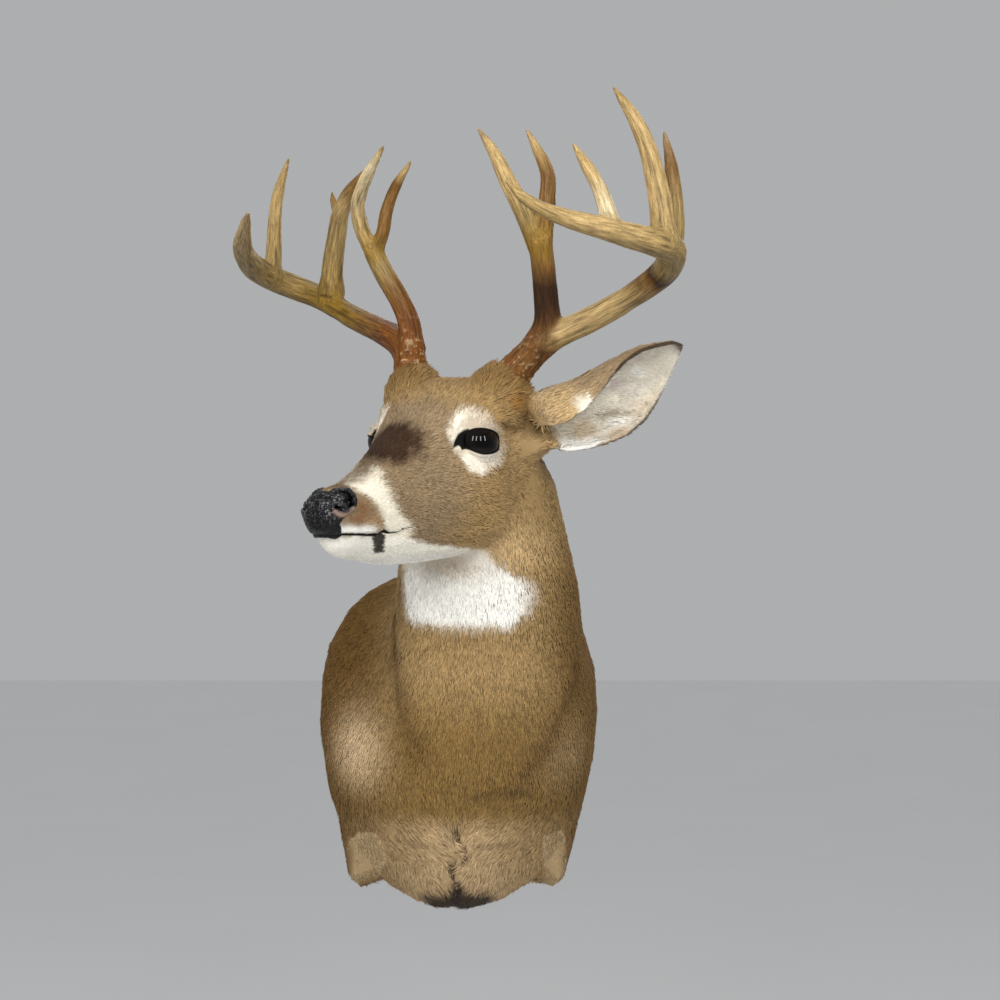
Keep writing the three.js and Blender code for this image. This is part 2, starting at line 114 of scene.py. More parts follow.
def outsideOf(points, outline):
    # distance outside (+) or inside (-) a closed outline in a plane
    outline = np.array(outline, float)
    x, y = points[:, 0], points[:, 1]
    inside = np.zeros(len(points), bool)
    for (x0, y0), (x1, y1) in zip(outline, np.roll(outline, -1, axis=0)):
        if y0 != y1:
            inside ^= ((y0 > y) != (y1 > y)) & (x < (x1 - x0) * (y - y0) / (y1 - y0) + x0)
    gap = fromLine(points, np.concatenate([outline, outline[:1]]))[0]
    return np.where(inside, -gap, gap)


def clouds(points, size, seed=0):
    # smooth noise from -1 to 1 with features about size across
    p = np.asarray(points, float) / size + seed * 31.7
    cell = np.floor(p).astype(np.int64)
    t = p - cell
    t = t * t * (3 - 2 * t)
    total = np.zeros(len(p))
    for corner in itertools.product((0, 1), repeat=3):
        c = cell + np.array(corner)
        mixed = c[:, 0] * 374761393 + c[:, 1] * 668265263 + c[:, 2] * 1274126177
        mixed = (mixed ^ (mixed >> 13)) * 1103515245
        mixed = (mixed ^ (mixed >> 16)) & 65535
        weight = np.prod(np.where(corner, t, 1 - t), axis=1)
        total += weight * mixed / 65535
    return total * 2 - 1


def curveThrough(points, count):
    # evenly spaced places on a smooth curve through the points
    p = np.array(points, float)
    ends = [2 * p[0] - p[1], *p, 2 * p[-1] - p[-2]]
    knots = np.concatenate([[0], np.cumsum(np.sqrt(np.linalg.norm(np.diff(ends, axis=0), axis=1)))])
    fine = []
    for i in range(1, len(ends) - 2):
        t0, t1, t2, t3 = knots[i - 1:i + 3]
        p0, p1, p2, p3 = ends[i - 1:i + 3]
        t = np.linspace(t1, t2, 24, endpoint=i == len(ends) - 3)[:, None]
        a1 = p0 * (t1 - t) / (t1 - t0) + p1 * (t - t0) / (t1 - t0)
        a2 = p1 * (t2 - t) / (t2 - t1) + p2 * (t - t1) / (t2 - t1)
        a3 = p2 * (t3 - t) / (t3 - t2) + p3 * (t - t2) / (t3 - t2)
        b1 = a1 * (t2 - t) / (t2 - t0) + a2 * (t - t0) / (t2 - t0)
        b2 = a2 * (t3 - t) / (t3 - t1) + a3 * (t - t1) / (t3 - t1)
        fine.append(b1 * (t2 - t) / (t2 - t1) + b2 * (t - t1) / (t2 - t1))
    fine = np.concatenate(fine)
    length = np.concatenate([[0], np.cumsum(np.linalg.norm(np.diff(fine, axis=0), axis=1))])
    at = np.linspace(0, length[-1], count)
    return np.stack([np.interp(at, length, fine[:, k]) for k in range(fine.shape[1])], 1)


def linear(colour):
    # a screen colour, 0 to 255, as light
    c = np.array(colour, float) / 255
    return np.where(c <= 0.04045, c / 12.92, ((c + 0.055) / 1.055) ** 2.4)


def alone(*objects):
    if bpy.context.object and bpy.context.object.mode != "OBJECT":
        bpy.ops.object.mode_set(mode="OBJECT")
    bpy.ops.object.select_all(action="DESELECT")
    for o in objects:
        o.select_set(True)
    if objects:
        bpy.context.view_layer.objects.active = objects[0]


def rowsOf(items, key, width, kind=np.float32):
    # one row of values for each item
    values = np.empty(len(items) * width, kind)
    items.foreach_get(key, values)
    return values.reshape(-1, width)


def places(mesh):
    return rowsOf(mesh.vertices, "co", 3).astype(float)


def setPlaces(mesh, co):
    mesh.vertices.foreach_set("co", co.astype(np.float32).ravel())
    mesh.update()


def outward(mesh):
    return rowsOf(mesh.vertex_normals, "vector", 3).astype(float)


def setTint(mesh, colours):
    layer = mesh.color_attributes.new("tint", "FLOAT_COLOR", "POINT")
    rgba = np.ones((len(colours), 4), np.float32)
    rgba[:, :3] = np.clip(colours, 0, 1)
    layer.data.foreach_set("color", rgba.ravel())


def editAll(obj):
    # opens a mesh for editing, with all of it selected
    alone(obj)
    bpy.ops.object.mode_set(mode="EDIT")
    bpy.ops.mesh.select_all(action="SELECT")


def editPoints(obj, chosen):
    # opens a mesh for editing, with only the chosen vertices selected
    editAll(obj)
    bpy.ops.mesh.select_mode(type="VERT")
    bpy.ops.mesh.select_all(action="DESELECT")
    bpy.ops.object.mode_set(mode="OBJECT")
    obj.data.vertices.foreach_set("select", chosen)
    bpy.ops.object.mode_set(mode="EDIT")


def copyOf(obj, name):
    alone(obj)
    bpy.ops.object.duplicate()
    copy = bpy.context.object
    copy.name = name
    return copy


def addBall(centre, radius, segments, rings):
    # a ball whose centre is a place in the head's frame
    bpy.ops.object.select_all(action="DESELECT")
    bpy.ops.mesh.primitive_uv_sphere_add(segments=segments, ring_count=rings, radius=radius * mm,
                                         location=fromHead(centre))
    bpy.ops.object.transform_apply(location=True, rotation=True, scale=True)
    return bpy.context.object


def addModifier(obj, kind, **settings):
    alone(obj)
    bpy.ops.object.modifier_add(type=kind)
    modifier = obj.modifiers[-1]
    for key, value in settings.items():
        setattr(modifier, key, value)
    bpy.ops.object.modifier_apply(modifier=modifier.name)


def mergedCopy(name, nodeNames, grow):
    # copies of CAD nodes as one object, doubles merged, each grown so that thin cuts close
    copies = []
    for node in nodeNames:
        copy = bpy.data.objects.new(name, cadNodes[node].data.copy())
        bpy.context.collection.objects.link(copy)
        copies.append(copy)
    alone(*copies)
    bpy.ops.object.join()
    joined = bpy.context.object
    joined.name = name
    joined.data.name = name
    joined.data.materials.clear()
    editAll(joined)
    bpy.ops.mesh.remove_doubles(threshold=1e-6)
    bpy.ops.transform.shrink_fatten(value=grow * mm)
    bpy.ops.object.mode_set(mode="OBJECT")
    return joined


def groupOf(obj, name, weights):
    # a vertex group from an array of weights, in a few steps
    levels = 8
    group = obj.vertex_groups.new(name=name)
    step = np.round(np.clip(weights, 0, 1) * levels).astype(int)
    for level in range(1, levels + 1):
        members = np.flatnonzero(step == level)
        if len(members):
            group.add(members.tolist(), level / levels, "REPLACE")
    return group.name


def refine(obj, chosen):
    # subdivides the faces that have a chosen vertex
    editPoints(obj, chosen)
    bpy.ops.mesh.subdivide(number_cuts=1, smoothness=0)
    bpy.ops.object.mode_set(mode="OBJECT")


def dress(obj, finish, slot, *replaced):
    # the finish, a slot name that is not used, and the nodes that it stands for; the piece is attached to
    # the root body
    obj.data.materials.clear()
    obj.data.materials.append(finishes[finish])
    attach(obj, "root")
    if replaced:
        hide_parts(*replaced)


# place and reach in metres
camera = {"place": (0.047, -2.3, 0.251), "lens": 70.2, "sensor": 36, "near": 0.05, "far": 50}
bpy.ops.object.camera_add(location=camera["place"], rotation=(math.radians(90), 0, 0))
cameraObject = bpy.context.object
cameraObject.data.lens = camera["lens"]
cameraObject.data.sensor_width = camera["sensor"]
cameraObject.data.clip_start = camera["near"]
cameraObject.data.clip_end = camera["far"]
bpy.context.scene.camera = cameraObject

eye = {
    "centre": (58.2, 0.6, -0.6),
    "radius": 19.6,
    "facing": 37,  # degrees forward of straight out to the side
    "raised": 3,
    "reach": 48,  # what lies farther from the ball's middle has nothing to do with the eye
    "socket": 1.2,  # how much larger the bulge in the skin is than the ball
    "lidThickness": 1.3,
    "pocket": 4.5,  # how far the skin lies inside the ball's surface between the lids
    "cornerDepth": 2.2,
    # the folds above and below the lids: distance from the lid's edge, reach and depth
    "upperFold": (5.5, 1.3, 1.0),
    "lowerFold": (6.0, 1.4, 0.8),
    "foldReach": 9,
    # the glass: pupil's half width and height in radians, and colours
    "pupil": (0.5, 0.3),
    "brown": (13, 8, 5),
    "rimBrown": (9, 7, 6),
    # the opening between the lids, in degrees round the ball: forward of its middle, and up
    "opening": {
        "left": [(88, -9), (78, 9), (66, 21), (56, 29), (44, 36), (26, 39), (6, 39.5), (-16, 36.5),
                 (-42, 29), (-64, 18), (-80, 2), (-70, -14), (-50, -24), (-24, -30), (4, -31),
                 (26, -24.5), (46, -16), (68, -11), (88, -9)],
        "right": [(84, -16), (78, -4), (60, 6), (30, 12), (0, 13), (-30, 10), (-55, 3), (-66, -6),
                  (-60, -15), (-40, -24), (-10, -31), (24, -33), (52, -29), (72, -22), (84, -16)],
    },
    # outline of the pale hair round it, forward of the ball's middle and up
    "pale": [(37, 8), (34, 15), (27, 24), (18, 30.5), (9, 31), (-3, 25.5), (-13, 19.5), (-22, 12), (-27, 5),
             (-29, -2), (-27.5, -11), (-20, -18.5), (-11, -21.5), (-2, -26), (8, -31), (15, -29),
             (20, -24), (25.5, -18), (27, -11), (29, -4)],
    # the dark front corner between the lids
    "corner": [(9, 13), (14, 14.5), (19, 13), (24.5, 9), (28.8, 2), (32.5, -8), (28, -5.2), (24, -3.8),
               (18.5, -5.8), (11, -7)],
}
ears = {
    "left": {"side": 1, "root": (72, 86, 8), "tip": (0.75, 0.42, 0.52),
             "opening": (0.664, -0.425, -0.615)},
    "right": {"side": -1, "root": (-68, 90, 10), "tip": (-0.6, 0.79, 0.06), "opening": (-0.8, -0.45, -0.3)},
}
# The ear's wall, by share of its length: half its width as a share of the whole, degrees it curls to either
# side, and how far it bows towards its lower edge.
earShape = {
    "length": 171,
    "width": 80,
    "setBack": 0.35,  # of the wall's middle behind the ear's axis, as a share of its radius
    "start": 5,
    "reach": 8,
    "half": [(0, 0.32), (0.12, 0.45), (0.3, 0.47), (0.45, 0.51), (0.62, 0.535), (0.74, 0.465), (0.86, 0.31),
             (0.95, 0.17), (1, 0.05)],
    "curl": [(0, 140), (0.2, 140), (0.3, 131), (0.47, 108), (0.65, 79), (0.74, 72), (0.9, 62), (1, 50)],
    "bow": [(0, -14), (0.12, -13), (0.21, -6), (0.3, 0), (0.45, 6.5), (0.65, 12.5), (0.8, 8.5), (0.9, 6),
            (1, 4)],
}
# where the head ends and the neck begins
throatPlane = {"point": (0, 78, -34), "normal": (0, -0.9, 0.43), "blend": 26}
farAway = 60.0  # stands for any distance out of reach
mouth = {
    "corner": 78,
    "depth": 2.6,
    "setBack": 1.6,  # of the lower lip behind the upper one
    # height of the closed lips, by distance ahead
    "line": [(60, -79), (78.6, -80.2), (85, -79.8), (91, -81.4), (99, -83.8), (109.5, -84), (117.4, -81),
             (122, -83), (125.5, -84.4), (134, -84.6), (149, -83.2), (164.5, -82.3), (177, -83)],
    "halfWidth": [(78, 0.5), (90, 0.9), (108, 1.2), (117, 2.2), (124, 1.5), (150, 1.3), (177, 1.2)],
}


def inHead(h):
    # 1 in the head, 0 in the neck, from head-frame places
    normal = unit(np.array(throatPlane["normal"], float))
    return ramp((h - np.array(throatPlane["point"])) @ normal, -throatPlane["blend"], throatPlane["blend"])


def mirrored(point, side):
    return np.array(point, float) * np.array([1 if side == "left" else -1, 1, 1])


def earFrame(side):
    # rows: across to the ear's lower edge, back, along
    ear = ears[side]
    tip = unit(np.array(ear["tip"], float))
    back = -np.array(ear["opening"], float)
    back = unit(back - (back @ tip) * tip)
    return np.array([np.cross(back, tip) * ear["side"], back, tip])


def earView(h, side):
    # places seen in an ear: in it or not, share of its length, degrees round its wall, millimetres outside
    # the wall and short of its rim, and the way out through the wall
    axes = earFrame(side)
    local = (h - np.array(ears[side]["root"], float)) @ axes.T
    t = local[:, 2] / earShape["length"]
    curl = np.radians(along(t, *earShape["curl"]))
    radius = along(t, *earShape["half"]) * earShape["width"] / np.sin(np.minimum(curl, math.pi / 2))
    x = local[:, 0] - along(t, *earShape["bow"])
    y = local[:, 1] + earShape["setBack"] * radius
    gap = np.hypot(x, y) - radius
    angle = np.arctan2(x, y)
    out = np.column_stack([np.sin(angle), np.cos(angle), angle * 0]) @ axes
    inside = (local[:, 2] > earShape["start"]) & (gap < earShape["reach"]) & (t < 1.1)
    return {"inside": inside, "t": t, "angle": np.degrees(angle), "gap": gap,
            "rim": (curl - np.abs(angle)) * radius, "out": out}


def outerFace(view, n):
    # 1 on the ear's outer face, 0 inside it
    return ramp((n * view["out"]).sum(1), -0.2, 0.2) * ramp(view["gap"], -13, -8)


def eyeView(h, side):
    # places seen from the eye: distance, turn forward and up in radians on the ball, and flat offsets
    p = h * mirrored((1, 1, 1), side) - np.array(eye["centre"])
    turn, lift = math.radians(eye["facing"]), math.radians(eye["raised"])
    axis = np.array([math.cos(turn) * math.cos(lift), -math.sin(turn) * math.cos(lift), math.sin(lift)])
    forward = np.array([-math.sin(turn), -math.cos(turn), 0])
    upward = np.cross(axis, forward)
    upward = upward if upward[2] > 0 else -upward
    distance = np.linalg.norm(p, axis=1)
    q = p / np.maximum(distance, 1e-6)[:, None]
    return {
        "distance": distance,
        "turn": np.arctan2(q @ forward, q @ axis),
        "lift": np.arcsin(np.clip(q @ upward, -1, 1)),
        "flat": np.column_stack([p @ forward, p @ upward]),
    }


def nearEye(view, reach, turn):
    # before the eye, no farther than a reach in millimetres and a turn in radians
    return (view["distance"] < reach) & (np.abs(view["turn"]) < turn)


lidLines = {side: np.radians(curveThrough(outline, 64)) * eye["radius"]
            for side, outline in eye["opening"].items()}


def lidEdge(view, side):
    # millimetres outside (+) or inside (-) the opening between the lids, on the ball
    edge = np.full(len(view["turn"]), farAway)
    near = nearEye(view, eye["reach"], 2.3)
    onBall = np.column_stack([view["turn"], view["lift"]])[near] * eye["radius"]
    edge[near] = outsideOf(onBall, lidLines[side])
    return np.maximum(edge, view["distance"] - eye["radius"] - 3.5)


def inCorner(view):
    # millimetres inside (+) the dark front corner of the eye
    share = np.full(len(view["turn"]), -farAway)
    near = nearEye(view, eye["reach"], 2)
    share[near] = -outsideOf(view["flat"][near], eye["corner"])
    return share


def towardsHeart(h):
    # from the surface of the muzzle towards its middle
    return unit(np.array(nose["heart"], float) - h)


def mouthLine(ahead):
    return along(ahead, *mouth["line"])


def leatherEdge(h):
    # millimetres inside (+) the bare leather of the nose
    ahead, z = -h[:, 1], h[:, 2]
    share = ramp(np.abs(h[:, 0]), 4, 14)
    return ahead - (along(z, *nose["rear"]) * share + along(z, *nose["middle"]) * (1 - share))


# Creases of the body, in the part's frame. A flat one is seen from the front.
folds = {
    "neck": {"line": [(-70, -130, 151), (-66, -228, 134), (-66, -235, 119), (-65, -245, 101),
                      (-64, -255, 78), (-62, -265, 53), (-57, -272, 33)],
             "width": 3.6, "depth": 6.5, "flat": False},
    "breastTop": {"line": [(0.5, 0, -84), (2.4, 0, -96), (7.5, 0, -108), (11.6, 0, -116), (8, 0, -124)],
                  "width": 3.0, "depth": 5, "flat": True},
    "breastLow": {"line": [(-2, 0, -126), (0.6, 0, -150), (-1.5, 0, -188)],
                  "width": 4.2, "depth": 8, "flat": True, "widening": (0.75, 0.7)},
    "fold": {"line": [(16, 0, -49), (47, 0, -45.5), (78, 0, -44.5)], "width": 4, "depth": 2, "flat": True},
    "wrinkleRight": {"line": [(-58, 0, -103), (-26, 0, -106)], "width": 2, "depth": 1.4, "flat": True},
    "wrinkleLeft": {"line": [(26, 0, -106), (73, 0, -103)], "width": 2, "depth": 1.6, "flat": True},
}
shoulderDip = {"edge": [(33, -57), (78, -64), (134, -66)], "reach": 16, "depth": 5}
whorl = {"centre": (4, -120.5), "ring": 8, "ringReach": 3.2, "height": 2, "pit": 3}
breast = {"lobes": 24, "lobeReach": 16, "groove": 9, "height": 2.5}
# outlines, from in front, of the short pale hair on the cut forelegs, which stands out a little
legPatchHeight = 1.3
legPatches = {
    "right": [(-120, -129), (-115.5, -115), (-105, -103), (-93, -99), (-86, -100), (-76.5, -113),
              (-75, -131), (-83, -154.5), (-92, -162), (-107, -168), (-118, -157)],
    "left": [(96.7, -101), (114.4, -100), (117.4, -113), (118.6, -139), (116.6, -167), (104.6, -171.5),
             (95.7, -160.5), (94, -135), (94.7, -109)],
}


def onFront(p):
    # 1 on the front of the chest, 0 behind it
    return ramp(-p[:, 1], 120, 190)


def foldAt(p, name):
    # 0 away from the crease, up to 1 in it, from millimetres in the part's frame
    fold = folds[name]
    line = curveThrough(fold["line"], 20)
    seen = p * np.array([1, 0, 1]) if fold["flat"] else p
    gap, share = fromLine(seen, line)
    front = onFront(p) if fold["flat"] else 1
    start, more = fold.get("widening", (1, 0))
    wide = fold["width"] * (start + more * share)
    ends = 0.35 + 0.65 * np.minimum(ramp(share, 0, 0.12), ramp(1 - share, 0, 0.2))
    return bell(gap, wide) * ends * front


def fromWhorl(p):
    # offsets across and up from the middle of the whorl, and their length
    offset = p[:, [0, 2]] - np.array(whorl["centre"])
    return offset, np.linalg.norm(offset, axis=1)


def inLegPatch(p):
    # millimetres inside (+) the short pale hair of the cut forelegs
    best = np.full(len(p), -farAway)
    front = (p[:, 1] < -160) & (p[:, 2] < -80)
    for outline in legPatches.values():
        best[front] = np.maximum(best[front], -outsideOf(p[front][:, [0, 2]], outline))
    return best


def sculptBody(co, normals):
    p = co / mm
    move = np.zeros(len(p))
    for name, fold in folds.items():
        move -= fold["depth"] * foldAt(p, name)
    # the shoulder dips before it meets the neck
    dip = bell(fromLine(p, curveThrough(folds["neck"]["line"], 20))[0], shoulderDip["reach"])
    dip = dip * (p[:, 0] < along(p[:, 2], *shoulderDip["edge"])) * (normals[:, 1] < 0.2)
    move -= shoulderDip["depth"] * dip
    front = onFront(p)
    radius = fromWhorl(p)[1]
    ring = bell(radius - whorl["ring"], whorl["ringReach"])
    move += front * whorl["height"] * (ring - bell(radius, whorl["pit"]))
    lobes = bell(np.abs(p[:, 0]) - breast["lobes"], breast["lobeReach"]) - bell(p[:, 0], breast["groove"])
    move += ramp(-p[:, 2], 124, 150) * front * breast["height"] * lobes
    move += legPatchHeight * ramp(inLegPatch(p), -0.6, 1.6) * ramp(-normals[:, 1], -0.2, 0.3)
    return co + normals * (move * mm)[:, None]


skin = {
    "nodes": ["head", "lower_jaw", "nose_pad", "neck", "chest", "foreleg_left", "foreleg_right",
              "ear_left", "ear_right"],
    "voxel": 1.8,
    "grow": 0.4,
    "bodySmoothing": 200,
    "faceSmoothing": 7,
    "rootSmoothing": 60,
    "root": (82, 62, 26),  # the meeting of head and ear, smoothed within these two distances of it
    "rootReach": (18, 38),
    "keep": 0.22,  # share of the points that is kept away from the face
    "bodyDepth": 4.0,  # how far the coat stands off the skin
    "faceDepth": 1.5,
    "earDepth": 0.6,
    "wallDepth": 0.8,
    "underLeather": 9,  # how far it sinks below the nose leather, and more below the nostrils
    "underNostril": 5,
    "fillet": ((77, 54, 41), 12),  # a ball that rounds the meeting of the left antler's foot and the ear
}
# relief inside the ears: share of the length, degrees round, reach in each, and height
earRelief = [
    (0.68, 13, 0.06, 12, 1.6), (0.68, -16, 0.06, 10, -1.2), (0.53, 17, 0.06, 10, -1.6),
    (0.47, 38, 0.06, 8, 1.5), (0.42, 76, 0.07, 9, 2.4), (0.39, 57, 0.08, 5, -2.2),
    (0.5, 70, 0.05, 5, -1.5), (0.58, 42, 0.06, 9, 1.2), (0.38, 110, 0.06, 12, -1.2),
]


def coatDepth(points):
    h = toHead(points)
    inside = inHead(h)
    depth = skin["bodyDepth"] + (skin["faceDepth"] - skin["bodyDepth"]) * inside
    for side in ears:
        view = earView(h, side)
        share = ramp(view["t"], 0.03, 0.12) * view["inside"]
        depth = depth + (skin["earDepth"] - depth) * share
    return depth + (skin["wallDepth"] - depth) * ramp(points[:, 1] / mm, -22, -6)


def makeSkinBase():
    # the flesh as one closed body, its facets rounded away
    body = mergedCopy("flesh", skin["nodes"], skin["grow"])
    balls = [addBall(mirrored(eye["centre"], side), eye["radius"] + eye["socket"], 48, 24) for side in ears]
    balls.append(addBall(*skin["fillet"], 48, 24))
    alone(body, *balls)
    bpy.ops.object.join()
    addModifier(body, "REMESH", mode="VOXEL", voxel_size=skin["voxel"] * mm)
    co = places(body.data)
    h = toHead(co)
    inside = inHead(h)
    for side in ears:
        inside = np.maximum(inside, earView(h, side)["inside"])
    keepRim = ramp(co[:, 1] / mm, -26, -16)
    trunk = groupOf(body, "trunk", (1 - inside) * (1 - keepRim))
    addModifier(body, "SMOOTH", factor=0.9, iterations=skin["bodySmoothing"], vertex_group=trunk)
    addModifier(body, "SMOOTH", factor=0.6, iterations=skin["faceSmoothing"])
    h = toHead(places(body.data))
    gap = np.minimum(*[gapTo(h, mirrored(skin["root"], side)) for side in ears])
    near, far = skin["rootReach"]
    root = groupOf(body, "earRoots", ramp(-gap, -far, -near))
    addModifier(body, "SMOOTH", factor=0.9, iterations=skin["rootSmoothing"], vertex_group=root)
    print("stage: skin base,", len(body.data.vertices), "points")
    return body


def sculptFace(co, normals):
    # lids, lips and folds, as moves of the skin's points
    h = toHead(co)
    n = normals @ headTurn
    for side in ears:
        view = eyeView(h, side)
        distance, lift = view["distance"], view["lift"]
        edge = lidEdge(view, side)
        centre = mirrored(eye["centre"], side)
        lid = eye["radius"] + eye["lidThickness"] * ramp(edge, -0.5, 1.0)
        pocket = eye["radius"] - eye["pocket"]
        bare = ramp(-edge, 0.1, 1.3)
        wrapped = np.maximum(distance, lid)
        for name, way in (("upperFold", 1), ("lowerFold", -1)):
            off, reach, depth = eye[name]
            fold = depth * bell(edge - off, reach) * ramp(lift * way, 0.1, 0.4)
            wrapped = wrapped - fold * (distance < eye["radius"] + eye["foldReach"])
        target = wrapped * (1 - bare) + np.minimum(wrapped, pocket) * bare
        scale = np.where(edge < 50, target / np.maximum(distance, 1e-6), 1.0)
        h = centre + (h - centre) * scale[:, None]
        h = h - n * (eye["cornerDepth"] * ramp(inCorner(view), -1, 3) * ramp(edge, 0, 3))[:, None]
    ahead, z = -h[:, 1], h[:, 2]
    below = z - mouthLine(ahead)
    closed = ramp(ahead, mouth["corner"] - 3, mouth["corner"] + 12)
    wide = along(ahead, *mouth["halfWidth"])
    groove = bell(below, wide) * mouth["depth"] * closed * (np.abs(n[:, 2]) < 0.9)
    setBack = mouth["setBack"] * ramp(-below, 0, 3) * ramp(below, -14, -4) * closed
    h = h - n * (groove + setBack)[:, None]
    for side in ears:
        view = earView(h, side)
        within = view["inside"] * (1 - outerFace(view, n))
        for t, angle, long, wide, height in earRelief:
            bump = bell(view["t"] - t, long) * bell(view["angle"] - angle, wide)
            h = h + n * (height * bump * within)[:, None]
    return fromHead(h)


def makeSkin(base):
    body = copyOf(base, "skin")
    h = toHead(places(body.data))
    keep = inHead(h) * ramp(-h[:, 1], -60, -20)
    for side in ears:
        keep = np.maximum(keep, earView(h, side)["inside"] * 0.8)
    thin = groupOf(body, "thin", 1 - keep)
    addModifier(body, "DECIMATE", ratio=skin["keep"], vertex_group=thin, vertex_group_factor=4)
    co = places(body.data)
    co = co - outward(body.data) * (coatDepth(co) * mm)[:, None]
    setPlaces(body.data, co)
    p = co / mm
    creased = np.maximum.reduce([foldAt(p, name) for name in folds]) > 0.02
    edge = np.abs(inLegPatch(p)) < 5
    ring = fromWhorl(p)[1] < 18
    refine(body, creased | edge | (ring & (p[:, 1] < -120)))
    for reach, band in ((34, 12), (30, 3.0)):
        h = toHead(places(body.data))
        chosen = np.zeros(len(h), bool)
        for side in ears:
            view = eyeView(h, side)
            chosen |= (view["distance"] < reach) & (np.abs(lidEdge(view, side)) < band)
        if band > 5:
            ahead = -h[:, 1]
            lips = np.abs(h[:, 2] - mouthLine(ahead)) < 6
            chosen |= lips & (ahead > mouth["corner"] - 8) & (ahead < 172)
        refine(body, chosen)
    co = sculptBody(places(body.data), outward(body.data))
    co = sculptFace(co, outward(body.data))
    # under the nose leather the skin lies deeper, out of sight
    h = toHead(co)
    nostril = fromLine(np.abs(h) * np.array([1, -1, -1]), curveThrough(nose["nostril"], 30))[0]
    edge = leatherEdge(h)
    under = skin["underLeather"] * ramp(edge, -0.5, 5)
    under = under + skin["underNostril"] * bell(nostril, 5.5) * ramp(edge, -1.5, 0.5)
    setPlaces(body.data, fromHead(h + towardsHeart(h) * under[:, None]))
    hidden = body.data.attributes.new("hidden", "FLOAT", "POINT")
    hidden.data.foreach_set("value", (edge > 0.2).astype(np.float32))
    addModifier(body, "TRIANGULATE")
    print("stage: skin,", len(body.data.polygons), "triangles")
    return body


# The marks of skin and coat alike, with light and shade painted among them.
tints = {
    "neck": (161, 132, 88),
    "chest": (131, 103, 58),
    "flank": (108, 78, 33),
    # the painted highlight of the shoulders and of the leg patches' top edges
    "shoulder": (224, 193, 151),
    # painted shade for the hollows between neck and shoulders
    "valleyShade": (88, 62, 28),
    "low": (200, 170, 128),
    "legs": (186, 160, 120),
    "dark": (36, 25, 16),
    "cheek": (168, 137, 90),
    "behindJaw": (208, 176, 127),
    "face": (146, 124, 94),
    "brow": (158, 129, 84),
    "pedicle": (128, 98, 56),
    "chocolate": (50, 29, 15),
    "rust": (166, 114, 50),
    "tan": (172, 134, 92),
    "blotch": (132, 88, 54),
    "cream": (240, 231, 210),
    "white": (242, 239, 230),
    "jaw": (248, 242, 226),
    "beige": (190, 172, 148),
    "aboveEye": (203, 188, 166),
    "belowEye": (230, 220, 203),
    "black": (8, 7, 6),
    "lidEdge": (14, 11, 9),
    "earBack": (166, 141, 107),
    "earRoot": (202, 170, 120),
    "earInside": (220, 212, 196),
    "lilac": (206, 195, 186),
    "earTan": (204, 172, 126),
    "earRim": (70, 53, 38),
}
tints = {name: linear(colour) for name, colour in tints.items()}
# inside the ears: tint, share of the length, degrees round, reach in each, and strength. Pale marks on the
# ridges of the relief are painted highlights, grey-lilac and brown marks in its hollows are painted shade,
# and the rest are the ear's own hair and skin.
earMarksAndShading = [
    ("cream", 0.7, 62, 0.1, 16, 0.7), ("cream", 0.47, 38, 0.06, 9, 0.8),
    ("white", 0.68, 12, 0.05, 12, 0.8), ("lilac", 0.53, 17, 0.07, 12, 1.0),
    ("lilac", 0.68, -18, 0.07, 11, 0.7), ("lilac", 0.58, 42, 0.05, 10, 0.4),
    ("pedicle", 0.39, 57, 0.09, 6, 0.45), ("pedicle", 0.5, 69, 0.06, 6, 0.3),
    ("white", 0.42, 77, 0.07, 9, 0.8), ("earTan", 0.39, 112, 0.09, 18, 0.55),
    ("earTan", 0.21, 75, 0.08, 28, 0.5), ("white", 0.2, 132, 0.1, 14, 1.0),
]
# On the body: lines and widths by height, a spot as its centre and its reach for the shoulders' painted
# highlight and the neck's painted folds, the strength and line of the painted shade in the hollows between
# neck and shoulders, and how dark the painted shade in each crease is.
bodyMarksAndShading = {
    "middle": [(-180, 0), (60, 10), (230, 30)],
    "halfWidth": [(-180, 120), (0, 150), (90, 115), (160, 110), (230, 115)],
    "shoulder": ((108, -228, -8), (34, 60, 38)),
    "rippleShading": ((8, -250, 84), (34, 60, 26)),
    "shadedValleys": [
        (0.55, [(130, -226, 81), (121, -246, 51), (110, -261, 26), (94, -275, -3), (68, -289, -28),
                (26, -294, -53)]),
        (0.6, [(-70, -236, 119), (-70, -241, 103), (-62, -265, 63), (-51, -281, 23), (-34, -292, -17),
               (-8, -294, -45)]),
    ],
    "creases": {"breastTop": 1.0, "breastLow": 1.0, "fold": 0.4, "neck": 0.9, "wrinkleRight": 0.35,
                "wrinkleLeft": 0.35},
}
# On the head: a spot is its place (side, ahead, up) and its reach. The muzzle's pale band runs from the
# bridge to the corner of the mouth.
headMarksAndShade = {
    "behindJaw": [((60, -62, -104), (30, 34, 24)), ((80, -60, 0), (26, 28, 30))],
    "pedicle": (56, -46, 50),
    "rust": ((78, -30, 38), (8, 8, 8)),
    "chocolate": ((4, 75, 1), (31, 32, 27)),
    "bandFront": [(-78, 121), (-71, 121), (-63, 123), (-56, 128), (-48.4, 134), (-43.6, 141), (-36, 143)],
    "bandRear": [(-79, 82), (-73, 91), (-65.6, 100), (-57.5, 105), (-48, 109), (-38, 110), (-29, 110),
                 (-22, 110)],
    "bandTop": [(100, -24), (114, -27), (128, -33), (144, -39), (150, -42)],
    "blotches": [((27, 145.5, -58), 8), ((28.9, 153, -69), 6.5), ((27.5, 162, -67.7), 4)],
    "jawTop": [(-45, -116), (-37, -110), (8, -103.6), (36, -100.8), (66, -94.8), (80, -91), (95, -87),
               (113, -85.5), (177, -84)],
    "jawShadow": ((0, -28, -122), (44, 34, 14)),
    "lipSpot": [(-104, 5.5), (-94, 7), (-84, 8.5)],
    "tearSpot": ((22, -8), (7, 3.5)),
}
